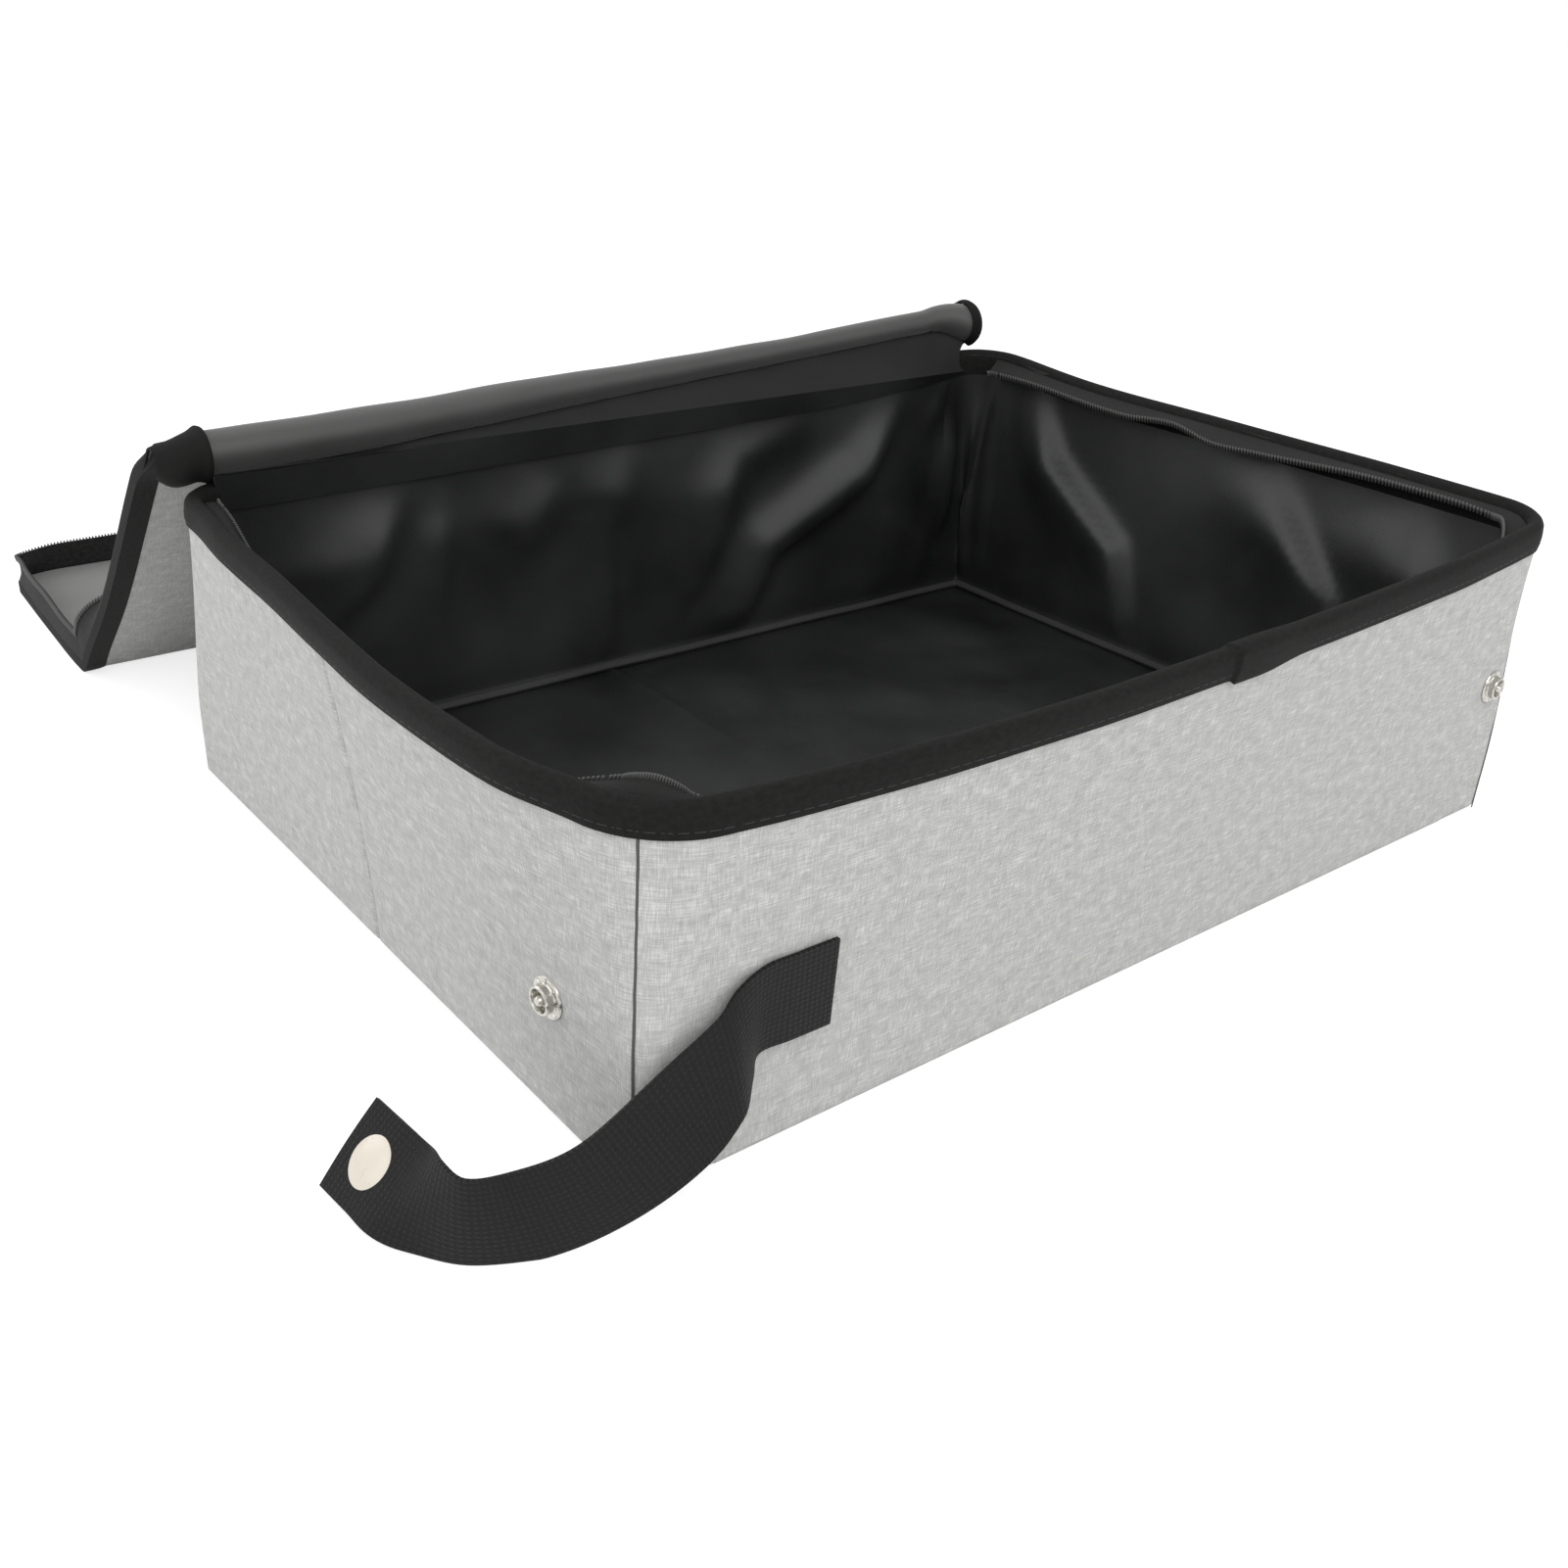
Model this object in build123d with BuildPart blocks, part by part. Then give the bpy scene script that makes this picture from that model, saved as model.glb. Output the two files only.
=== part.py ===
"""Foldable fabric litter box with a lid that zips on, as separate sewn pieces, in millimetres.

The origin is the middle of the tray's footprint, on the ground, with +Z up. The long walls run along X.
The front wall, which carries the strap, faces -Y. The lid is hinged on the back wall's rim and lies
folded back over it, with its outer part on the ground. Every piece is drawn as the open box stands.
"""
from build123d import *
from collections import namedtuple
import math
import os

# Tray
box_length = 400.0
box_depth = 300.0
box_height = 116.0
clearance = 0.3

# Layers of a wall or of the floor
shell_t = 1.0
board_t = 3.0
lining_t = 1.0
wall_t = shell_t + board_t + lining_t
seam_allowance = 5.0
board_split = 4.0

# Binding round the rim
binding_t = 0.8
binding_h = 10.0
rim_top = box_height + binding_t

# Zip tape sewn inside the rim, with its coil along the free lower edge
tape_t = 0.7
tape_h = 22.0
tape_drop = 2.0
tape_corner_stop = 10.0
coil_t = 1.6
coil_h = 2.2
tape_top = box_height - tape_drop
coil_bottom = tape_top - tape_h
coil_top = coil_bottom + coil_h

# Upright creases of the short walls, and the stitched gap in each
crease_gap = 0.5
short_foot = wall_t + clearance
short_end = box_depth / 2 - wall_t - binding_t - clearance

# Corner seams and the seam tape inside the open corner
seam_cord_r = 0.6
corner_tape_t = 0.6
corner_tape_w = 6.0
corner_tape_rise = 6.0

# Upright pivot lines at the corners, which the fold turns on
fold_room = 1.0
pivot_inset = wall_t + binding_t + tape_t + fold_room

# Lid
lid_shell_t = 1.0
lid_board_t = 2.0
lid_lining_t = 1.0
lid_t = lid_shell_t + lid_board_t + lid_lining_t
lid_slope_angle = 47.5
lid_crease_gap = 0.8
lid_binding_w = 11.0
skirt_t = 1.2
hinge_strip_t = 1.2
hinge_strip_lap = 9.0
ridge_r = 4.4
ridge_rise = 16.7

# Webbing strap
strap_w = 26.0
strap_t = 1.3
strap_root_length = 28.0
strap_root_end = 63.0
strap_root_foot = 33.0
strap_joint_gap = 0.4
strap_bend_gap = 0.7
strap_tip_length = 24.0
strap_tip_lean = 43.5
strap_tip_heading = 95.0

# Press studs on the walls
stud_flange_r = 6.3
stud_flange_t = 0.8
stud_ring_r = 4.2
stud_ring_bore = 3.3
stud_ring_h = 2.6
stud_post_r = 1.5
stud_post_h = 3.2
shank_r = 2.0
shank_fit = 0.05
backing_r = 5.0
backing_t = 1.0
left_stud_back = 41.5
left_stud_height = 41.0
front_stud_in = 16.0
front_stud_height = 55.0

# Snap cap and socket on the strap's end
cap_r = 8.0
cap_rim_t = 0.7
cap_dome = 1.3
cap_from_end = 11.0
socket_r = 6.2
socket_base_t = 0.6
socket_depth = 2.8

# Zip slider and its pull
slider_length = 8.0
slider_wall = 0.5
slide_gap = 0.15
slider_start = 38.0
bail_reach = 2.8
bail_ear_t = 1.0
bail_inner_w = 4.4
bail_bar_r = 0.5
bail_bar_out = 1.9
pull_w = 3.6
pull_grip_w = 5.6
pull_t = 1.2
pull_length = 17.0
pull_eye_r = 1.5
pull_hole_r = 0.8
pull_neck = 5.0
pull_corner_r = 1.4

# Outer faces of the walls, as distances from the middle
half_length = box_length / 2
half_depth = box_depth / 2

os.makedirs("parts", exist_ok=True)

Wall = namedtuple("Wall", "name along side half start end foot")


def save(piece, label):
    """Name a finished piece and write it."""
    piece.part.label = label
    export_step(piece.part, "parts/" + label + ".step")


def wall_base(wall, start):
    """The plane square to a wall's run, at one end of what is drawn."""
    return Plane.YZ.offset(start) if wall.along == "x" else Plane.XZ.offset(-start)


def wall_piece(label, wall, profile, spans, hole=None):
    """Build one layer of a wall and write it.

    The profile's points are (distance out, height), and it runs over each span of the wall. A hole is
    (plane on the outer face, radius, near depth, far depth).
    """
    with BuildPart() as piece:
        for start, end in spans:
            with BuildSketch(wall_base(wall, start)):
                with BuildLine():
                    Polyline(*[(wall.side * out, height) for out, height in profile], close=True)
                make_face()
            extrude(amount=end - start if wall.along == "x" else start - end)
        if hole:
            plane, radius, near, far = hole
            with BuildSketch(plane.offset(-near)):
                Circle(radius)
            extrude(amount=near - far, mode=Mode.SUBTRACT)
    save(piece, label)


def block(out_low, out_high, low, high):
    """A rectangular wall profile."""
    return [(out_low, low), (out_high, low), (out_high, high), (out_low, high)]


def binding_profile(half):
    """A strip folded over the rim, with a leg on each face of the wall."""
    inner = half - wall_t
    foot = rim_top - binding_h
    return [
        (half, foot), (half + binding_t, foot), (half + binding_t, rim_top), (inner - binding_t, rim_top),
        (inner - binding_t, foot), (inner, foot), (inner, box_height), (half, box_height),
    ]


def tape_profile(half):
    """A tape that hangs inside the binding and ends in the coil."""
    outer = half - wall_t - binding_t
    inner = outer - tape_t
    coil_in = outer - coil_t
    return [
        (outer, coil_bottom), (outer, tape_top), (inner, tape_top), (inner, coil_top),
        (coil_in, coil_top), (coil_in, coil_bottom),
    ]


def stud_plane(wall, along, height):
    """The plane on a wall's outer face at a stud, looking outwards."""
    outward = Vector(0, wall.side, 0) if wall.along == "x" else Vector(wall.side, 0, 0)
    place = outward * wall.half
    place += Vector(along, 0, height) if wall.along == "x" else Vector(0, along, height)
    return Plane(origin=place, x_dir=Vector(0, 0, 1).cross(outward), z_dir=outward)


# Walls. The long ones reach the ground, and the short halves stand on the floor's ends.
walls = [
    Wall("back", "x", 1, half_depth, -half_length, half_length, 0),
    Wall("front", "x", -1, half_depth, -half_length, half_length, 0),
    Wall("left_back", "y", -1, half_length, crease_gap / 2, short_end, short_foot),
    Wall("left_front", "y", -1, half_length, -short_end, -crease_gap / 2, short_foot),
    Wall("right_back", "y", 1, half_length, crease_gap / 2, short_end, short_foot),
    Wall("right_front", "y", 1, half_length, -short_end, -crease_gap / 2, short_foot),
]
wall_of = {wall.name: wall for wall in walls}
stud_at = {
    "left_front": stud_plane(wall_of["left_front"], left_stud_back - half_depth, left_stud_height),
    "front": stud_plane(wall_of["front"], half_length - front_stud_in, front_stud_height),
}

for wall in walls:
    shell_in = wall.half - shell_t
    board_in = shell_in - board_t
    stud = stud_at.get(wall.name)

    whole = [(wall.start, wall.end)]
    shell_hole = (stud, shank_r + shank_fit, 0, shell_t) if stud else None
    wall_piece(wall.name + "_shell", wall, block(shell_in, wall.half, wall.foot, box_height), whole, shell_hole)

    halves = wall.along == "x"
    first = wall.start + seam_allowance
    last = wall.end - seam_allowance
    spans = [(first, -board_split / 2), (board_split / 2, last)] if halves else [(first, last)]
    pocket = (stud, backing_r + clearance, shell_t, shell_t + backing_t + clearance) if stud else None
    board_profile = block(board_in, shell_in, wall.foot + seam_allowance, box_height - seam_allowance)
    wall_piece(wall.name + ("_boards" if halves else "_board"), wall, board_profile, spans, pocket)

    lining_profile = block(board_in - lining_t, board_in, wall.foot, box_height)
    wall_piece(wall.name + "_lining", wall, lining_profile, whole)
    wall_piece(wall.name + "_binding", wall, binding_profile(wall.half), whole)
    if wall.name != "back":
        reach = (half_length if halves else half_depth) - tape_corner_stop
        tape_span = (max(wall.start, -reach), min(wall.end, reach))
        wall_piece(wall.name + "_zip_tape", wall, tape_profile(wall.half), [tape_span])

# Corner seams, a thin cord along each upright edge of the long walls, below the binding
for name, side in (("back", 1), ("front", -1)):
    with BuildPart() as seams:
        with BuildSketch():
            for end in (-1, 1):
                with Locations((end * (half_length + seam_cord_r), side * (half_depth - seam_cord_r))):
                    Circle(seam_cord_r)
        extrude(amount=rim_top - binding_h)
    save(seams, name + "_corner_seams")

# Seam tape inside the right front corner, which turns with the right wall's front half
with BuildPart() as corner_tape:
    tape_out = half_length - wall_t - clearance
    tape_near = pivot_inset + corner_tape_w - half_depth
    with BuildSketch(Plane.XY.offset(short_foot + corner_tape_rise)):
        with Locations((tape_out - corner_tape_t / 2, tape_near)):
            Rectangle(corner_tape_t, corner_tape_w)
    extrude(amount=coil_bottom - short_foot - 2 * corner_tape_rise)
save(corner_tape, "right_corner_tape")

# Floor, in two halves that meet along the middle, where their shared fold line lies above them
floor_layers = [
    ("shell", 0, shell_t, 0),
    ("board", shell_t, shell_t + board_t, seam_allowance),
    ("lining", shell_t + board_t, wall_t, 0),
]
floor_reach = half_depth - pivot_inset
for name, side in (("back", 1), ("front", -1)):
    for layer, low, high, inset in floor_layers:
        with BuildPart() as sheet:
            with BuildSketch(Plane.XY.offset(low)):
                with Locations((0, side * floor_reach / 2)):
                    Rectangle(box_length - 2 * inset, floor_reach - 2 * inset)
            extrude(amount=high - low)
        save(sheet, "floor_" + name + "_" + layer)

# Press studs with their backings
for name, plane in stud_at.items():
    with BuildPart() as stud:
        with BuildSketch(plane):
            Circle(stud_flange_r)
        extrude(amount=stud_flange_t)
        with BuildSketch(plane.offset(stud_flange_t)):
            Circle(stud_ring_r)
            Circle(stud_ring_bore, mode=Mode.SUBTRACT)
        extrude(amount=stud_ring_h)
        with BuildSketch(plane.offset(stud_flange_t)):
            Circle(stud_post_r)
        extrude(amount=stud_post_h)
        with BuildSketch(plane):
            Circle(shank_r)
        extrude(amount=-shell_t - backing_t)
    save(stud, name.split("_")[0] + "_stud")
    with BuildPart() as backing:
        with BuildSketch(plane.offset(-shell_t)):
            Circle(backing_r)
            Circle(shank_r + shank_fit, mode=Mode.SUBTRACT)
        extrude(amount=-backing_t)
    save(backing, name.split("_")[0] + "_stud_backing")

# Hinge strip, sewn up the back of the rim and rolled into the ridge that the lid turns on
strip_middle = half_depth + binding_t + hinge_strip_t / 2
ridge_height = rim_top + ridge_rise
with BuildPart() as hinge_strip:
    with BuildSketch(Plane.YZ.offset(-half_length)):
        with Locations((strip_middle, (rim_top - hinge_strip_lap + ridge_height) / 2)):
            Rectangle(hinge_strip_t, ridge_height - rim_top + hinge_strip_lap)
        with Locations((strip_middle, ridge_height)):
            Circle(ridge_r)
    extrude(amount=box_length)
save(hinge_strip, "lid_hinge_strip")

# Lid frames. Distance runs down the lid from the ridge, or out from the crease, and the plane's normal
# points to the lining's side. The skirts stand on that side.
slope = math.radians(lid_slope_angle)
down_slope = Vector(0, math.cos(slope), -math.sin(slope))
lining_up = Vector(0, math.sin(slope), math.cos(slope))
slope_plane = Plane(origin=(0, strip_middle, ridge_height), x_dir=(1, 0, 0), z_dir=lining_up)
lying_height = binding_t + lid_t / 2
crease_reach = (ridge_height + lid_t / 2 * (math.cos(slope) - 1) - lying_height) / math.sin(slope)
crease_y = strip_middle + math.cos(slope) * crease_reach + math.sin(slope) * lid_t / 2
lying_plane = Plane(origin=(0, crease_y, lying_height), x_dir=(1, 0, 0), z_dir=(0, 0, 1))
lid_start = ridge_r + clearance
lid_reach = strip_middle + half_depth
outer_reach = lid_reach - crease_reach
skirt_top = ridge_height - rim_top - clearance
lid_half = half_length - skirt_t
mitre = (skirt_top - lid_t / 2) * math.tan(slope / 2)
inner_span = (lid_start, crease_reach - lid_crease_gap / 2)
outer_span = (lid_crease_gap / 2, outer_reach - skirt_t)

# Lid layers, with the shell below and the lining above while the lid lies open
lid_layers = [
    ("shell", -lid_t / 2, -lid_t / 2 + lid_shell_t, 0),
    ("board", -lid_t / 2 + lid_shell_t, lid_t / 2 - lid_lining_t, seam_allowance),
    ("lining", lid_t / 2 - lid_lining_t, lid_t / 2, 0),
]
for name, plane, (near, far) in (("inner", slope_plane, inner_span), ("outer", lying_plane, outer_span)):
    for layer, low, high, inset in lid_layers:
        with BuildPart() as sheet:
            with BuildSketch(plane.offset(low)):
                with Locations((0, (near + far) / 2)):
                    Rectangle(2 * (lid_half - inset), far - near - 2 * inset)
            extrude(amount=high - low)
        save(sheet, "lid_" + name + "_" + layer)

# Edge bindings on the lid's shell side
with BuildPart() as inner_bindings:
    with BuildSketch(slope_plane.offset(-lid_t / 2 - binding_t)):
        for side in (-1, 1):
            with Locations((side * (lid_half - lid_binding_w / 2), (inner_span[0] + inner_span[1]) / 2)):
                Rectangle(lid_binding_w, inner_span[1] - inner_span[0])
    extrude(amount=binding_t)
save(inner_bindings, "lid_inner_bindings")
with BuildPart() as outer_binding:
    with BuildSketch(lying_plane.offset(-lid_t / 2 - binding_t)):
        with Locations((0, (outer_span[0] + outer_span[1]) / 2)):
            Rectangle(2 * lid_half, outer_span[1] - outer_span[0])
        with Locations((0, (outer_span[0] + outer_span[1] - lid_binding_w) / 2)):
            Rectangle(2 * (lid_half - lid_binding_w), outer_span[1] - outer_span[0] - lid_binding_w,
                      mode=Mode.SUBTRACT)
    extrude(amount=binding_t)
save(outer_binding, "lid_outer_binding")


def skirt_base(plane, side):
    """The plane at the inner or outer face of a side skirt, with X down the lid and Y off its lining."""
    edge = -half_length if side < 0 else lid_half
    along = plane.z_dir.cross(Vector(1, 0, 0))
    return Plane(origin=plane.origin + Vector(edge, 0, 0), x_dir=along, z_dir=(1, 0, 0))


# Skirts, mitred at the crease so that the lid can bend and lie flat
face = lid_t / 2
with BuildPart() as inner_skirts:
    near, far = inner_span
    outline = [(near, -face), (far, -face), (far, face), (far - mitre, skirt_top), (near, skirt_top)]
    for side in (-1, 1):
        with BuildSketch(skirt_base(slope_plane, side)):
            with BuildLine():
                Polyline(*outline, close=True)
            make_face()
        extrude(amount=skirt_t)
save(inner_skirts, "lid_inner_skirts")
with BuildPart() as outer_skirt:
    near = outer_span[0]
    outline = [(near, -face), (outer_reach, -face), (outer_reach, skirt_top), (near + mitre, skirt_top),
               (near, face)]
    for side in (-1, 1):
        with BuildSketch(skirt_base(lying_plane, side)):
            with BuildLine():
                Polyline(*outline, close=True)
            make_face()
        extrude(amount=skirt_t)
    with BuildSketch(lying_plane.offset(-face)):
        with Locations((0, outer_reach - skirt_t / 2)):
            Rectangle(box_length, skirt_t)
    extrude(amount=face + skirt_top)
save(outer_skirt, "lid_outer_skirt")

# Strap root, sewn flat on the front wall
root_left = strap_root_end - half_length - strap_root_length
with BuildPart() as strap_root:
    with BuildSketch(Plane.XZ.offset(half_depth)):
        with Locations((root_left + strap_root_length / 2, strap_root_foot + strap_w / 2)):
            Rectangle(strap_root_length, strap_w)
    extrude(amount=strap_t)
save(strap_root, "strap_root")

# Strap edges past the root, lower then upper, chosen by hand in strap widths from the front left corner
strap_edge_shares = [
    ((1.000, -0.308, 1.269), (1.135, -0.085, 2.210)),
    ((0.654, -0.577, 1.038), (0.788, -0.110, 1.923)),
    ((0.288, -0.577, 0.692), (-0.077, -0.125, 1.460)),
    ((-0.385, -0.385, 0.288), (-0.769, -0.105, 1.154)),
    ((-1.077, -0.096, 0.030), (-1.308, 0.135, 0.960)),
]
strap_bend_share = (-1.700, 0.246)
strap_curl_shares = ((-2.020, 0.615, 0.000), (-1.731, 0.596, 0.954))
strap_end_share = (-2.040, 2.000)
corner = Vector(-half_length, -half_depth, 0)
Station = namedtuple("Station", "middle across")


def station(lower_shares, upper_shares):
    """A strap section from shares of its width, as its middle and its upward direction across."""
    lower = corner + Vector(*lower_shares) * strap_w
    upper = corner + Vector(*upper_shares) * strap_w
    return Station((lower + upper) / 2, (upper - lower).normalized())


def section_plane(place, heading):
    """The plane of a strap section, square to the strap's run, lifted so that it stays off the ground."""
    along = (heading - place.across * heading.dot(place.across)).normalized()
    through = along.cross(place.across)
    lowest = place.middle.Z - strap_w / 2 * place.across.Z - strap_t / 2 * abs(through.Z)
    middle = place.middle + Vector(0, 0, max(0, -lowest))
    return Plane(origin=middle, x_dir=place.across, z_dir=along)


def strap_piece(label, planes, hole=None):
    """Join strap sections in order and write the piece. A hole is (plane on the strap's face, radius)."""
    with BuildPart() as piece:
        for plane in planes:
            with BuildSketch(plane):
                Rectangle(strap_w, strap_t)
        loft(ruled=True)
        if hole:
            with BuildSketch(hole[0]):
                Circle(hole[1])
            extrude(amount=-strap_t, mode=Mode.SUBTRACT)
    save(piece, label)


# Hanging run of the strap, from the root to the upright bend that its end curls about
upright = Vector(0, 0, 1)
leave_x = root_left - strap_joint_gap
leave_y = -half_depth - clearance - strap_t / 2
leave = Station(Vector(leave_x, leave_y, strap_root_foot + strap_w / 2), upright)
bend_place = corner + Vector(*strap_bend_share) * strap_w + Vector(0, 0, strap_w / 2)
bend = Station(bend_place, upright)
run_stations = [leave] + [station(*shares) for shares in strap_edge_shares] + [bend]
curl = station(*strap_curl_shares)
headings = [Vector(-1, 0, 0)]
for before, after in zip(run_stations, run_stations[2:] + [curl]):
    headings.append((after.middle - before.middle).normalized())
bend_heading = Vector(headings[-1].X, headings[-1].Y, 0).normalized()
headings[-1] = bend_heading
half_gap = bend_heading * (strap_bend_gap / 2)
run_planes = [section_plane(place, heading) for place, heading in zip(run_stations, headings)]
run_planes[-1] = Plane(origin=run_planes[-1].origin - half_gap, x_dir=upright, z_dir=bend_heading)
strap_piece("strap_run", run_planes)

# End of the strap, which curls round and ends in a flat, leaning stretch that carries the snap
heading_angle = math.radians(strap_tip_heading)
lean = math.radians(strap_tip_lean)
tip_along = Vector(math.cos(heading_angle), math.sin(heading_angle), 0)
tip_side = tip_along.cross(upright)
tip_across = upright * math.cos(lean) + tip_side * math.sin(lean)
tip_out = upright * math.sin(lean) - tip_side * math.cos(lean)
tip_height = strap_w / 2 * math.cos(lean) + strap_t / 2 * math.sin(lean)
tip_end = corner + Vector(*strap_end_share) * strap_w + upright * tip_height
tip_start = tip_end - tip_along * strap_tip_length
end_planes = [
    Plane(origin=run_planes[-1].origin + half_gap * 2, x_dir=upright, z_dir=bend_heading),
    section_plane(curl, tip_start - bend_place),
    Plane(origin=tip_start, x_dir=tip_across, z_dir=tip_along),
    Plane(origin=tip_end, x_dir=tip_across, z_dir=tip_along),
]
cap_middle = tip_end - tip_along * cap_from_end
cap_face = Plane(origin=cap_middle + tip_out * (strap_t / 2), x_dir=tip_across, z_dir=tip_out)
socket_face = Plane(origin=cap_middle - tip_out * (strap_t / 2), x_dir=tip_across, z_dir=tip_out * -1)
strap_piece("strap_end", end_planes, (cap_face, shank_r + shank_fit))

# Snap cap, a disc with a rounded brow, whose shank passes through the strap
with BuildPart() as snap_cap:
    with BuildSketch(cap_face):
        Circle(cap_r)
    extrude(amount=cap_rim_t + cap_dome)
    fillet(snap_cap.edges().sort_by(Axis(cap_face.origin, tip_out))[-1], radius=cap_dome)
    with BuildSketch(cap_face):
        Circle(shank_r)
    extrude(amount=-strap_t)
save(snap_cap, "snap_cap")

# Snap socket, an open cup on the strap's other face that takes a wall stud's ring
with BuildPart() as snap_socket:
    with BuildSketch(socket_face):
        Circle(socket_r)
    extrude(amount=socket_base_t + socket_depth)
    with BuildSketch(socket_face.offset(socket_base_t)):
        Circle(stud_ring_r + clearance)
    extrude(amount=socket_depth, mode=Mode.SUBTRACT)
save(snap_socket, "snap_socket")

# Zip slider, a channel round the coil on the front wall with a bail for its pull
tape_outer = half_depth - wall_t - binding_t
tape_inner = tape_outer - tape_t
coil_in = tape_outer - coil_t
back_in = tape_outer + slide_gap
front_in = coil_in - slide_gap
lip_in = tape_inner - slide_gap
slot_low = coil_bottom - slide_gap
slot_high = coil_top + slide_gap
slider_profile = [
    (back_in + slider_wall, slot_low - slider_wall), (back_in + slider_wall, slot_high + slider_wall),
    (back_in, slot_high + slider_wall), (back_in, slot_low), (front_in, slot_low), (front_in, slot_high),
    (lip_in, slot_high), (lip_in, slot_high + slider_wall), (front_in - slider_wall, slot_high + slider_wall),
    (front_in - slider_wall, slot_low - slider_wall),
]
slider_face = front_in - slider_wall
bar_out = slider_face - bail_bar_out
bar_height = (coil_bottom + coil_top) / 2
ear_height = slot_high - slot_low
with BuildPart() as zip_slider:
    with BuildSketch(Plane.YZ.offset(-slider_start - slider_length / 2)):
        with BuildLine():
            Polyline(*[(-out, height) for out, height in slider_profile], close=True)
        make_face()
    extrude(amount=slider_length)
    for side in (-1, 1):
        ear_middle = side * (bail_inner_w + bail_ear_t) / 2 - slider_start
        with BuildSketch(Plane.XY.offset(bar_height - ear_height / 2)):
            with Locations((ear_middle, bail_reach / 2 - slider_face)):
                Rectangle(bail_ear_t, bail_reach)
        extrude(amount=ear_height)
    with BuildSketch(Plane.YZ.offset(-slider_start - bail_inner_w / 2)):
        with Locations((-bar_out, bar_height)):
            Circle(bail_bar_r)
    extrude(amount=bail_inner_w)
save(zip_slider, "zip_slider")

# Zip pull, a tag that hangs from the slider's bar by its eye
grip_length = pull_length - pull_neck
with BuildPart() as zip_pull:
    with BuildSketch(Plane.YZ.offset(-slider_start - pull_w / 2)):
        with Locations((-bar_out, bar_height)):
            Circle(pull_eye_r)
        with Locations((-bar_out, bar_height - pull_neck / 2 - pull_eye_r / 2)):
            Rectangle(pull_t, pull_neck + pull_eye_r)
        with Locations((-bar_out, bar_height)):
            Circle(pull_hole_r, mode=Mode.SUBTRACT)
    extrude(amount=pull_w)
    with BuildSketch(Plane.XZ.offset(bar_out - pull_t / 2)):
        with Locations((-slider_start, bar_height - pull_neck - grip_length / 2)):
            RectangleRounded(pull_grip_w, grip_length, pull_corner_r)
    extrude(amount=pull_t)
save(zip_pull, "zip_pull")

print("lid crease at", round(crease_y, 3), round(lying_height + lid_t / 2, 3))
print("lid hinge at", round(strip_middle, 3), round(ridge_height, 3))
print("strap hinge at", round(leave_x + strap_joint_gap / 2, 3), round(-half_depth - strap_t, 3))
print("strap bend at", round(bend_place.X, 3), round(bend_place.Y, 3))
print("pull bar at", round(-slider_start, 3), round(-bar_out, 3), round(bar_height, 3))
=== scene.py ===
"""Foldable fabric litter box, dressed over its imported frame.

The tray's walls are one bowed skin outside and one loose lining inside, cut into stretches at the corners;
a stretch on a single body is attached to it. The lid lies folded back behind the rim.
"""
import logging
import math
from contextlib import contextmanager
from dataclasses import dataclass, field
from enum import Enum
from typing import Callable, Iterator, Optional, Sequence, TypeVar, Union

import bpy
from mathutils import Matrix, Vector, noise


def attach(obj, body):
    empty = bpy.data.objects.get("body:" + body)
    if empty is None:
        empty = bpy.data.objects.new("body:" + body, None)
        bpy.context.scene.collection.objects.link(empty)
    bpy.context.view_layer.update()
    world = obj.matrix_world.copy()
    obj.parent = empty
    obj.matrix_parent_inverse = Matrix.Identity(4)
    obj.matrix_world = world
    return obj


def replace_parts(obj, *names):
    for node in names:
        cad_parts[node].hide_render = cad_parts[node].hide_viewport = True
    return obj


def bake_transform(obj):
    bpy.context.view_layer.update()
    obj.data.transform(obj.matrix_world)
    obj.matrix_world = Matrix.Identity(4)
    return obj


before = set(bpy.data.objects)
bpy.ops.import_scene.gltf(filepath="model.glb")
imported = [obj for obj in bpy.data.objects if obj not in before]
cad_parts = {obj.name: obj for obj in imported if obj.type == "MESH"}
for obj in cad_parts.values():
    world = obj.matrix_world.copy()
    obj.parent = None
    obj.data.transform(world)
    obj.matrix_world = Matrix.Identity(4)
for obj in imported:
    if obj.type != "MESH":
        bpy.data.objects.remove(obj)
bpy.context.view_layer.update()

MM = 0.001
# The third side of a cell on a UV map, which has no third axis
FLAT = 1000.0
UP = Vector((0, 0, 1))
WHITE = "#FFFFFF"
log = logging.getLogger("litter_box")

Place = Callable[[float, float], Vector]
Setting = Union[float, int, str, bool, tuple]
Pair = tuple[float, float]
Triple = tuple[float, float, float]
Value = TypeVar("Value", float, Vector)
Socket = bpy.types.NodeSocket
Tree = bpy.types.NodeTree
Piece = bpy.types.Object
Node = bpy.types.Node


class Slot(Enum):
    """The record's material slots."""

    LINEN = "grey_fabric"
    LINING = "black_lining"
    BINDING = "black_binding"
    ZIP = "zip_tape"
    WEBBING = "webbing"
    SNAP = "snap_metal"
    CAP = "cap_enamel"
    SLIDER = "slider_metal"


class Hold(Enum):
    """How a sheet of cloth is held."""

    STRETCHED = "stretched"
    HUNG = "hung"
    FOLDED = "folded"


# Mesh helpers


def deselect() -> None:
    """Leave object mode ready, with nothing selected."""
    if bpy.context.object and bpy.context.object.mode != "OBJECT":
        bpy.ops.object.mode_set(mode="OBJECT")
    bpy.ops.object.select_all(action="DESELECT")


def take(piece: Piece) -> Piece:
    """Select one piece and make it active."""
    deselect()
    piece.select_set(True)
    bpy.context.view_layer.objects.active = piece
    return piece


def named(name: str) -> Piece:
    """Name the active object and its mesh."""
    piece = bpy.context.object
    piece.name = piece.data.name = name
    return piece


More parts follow.
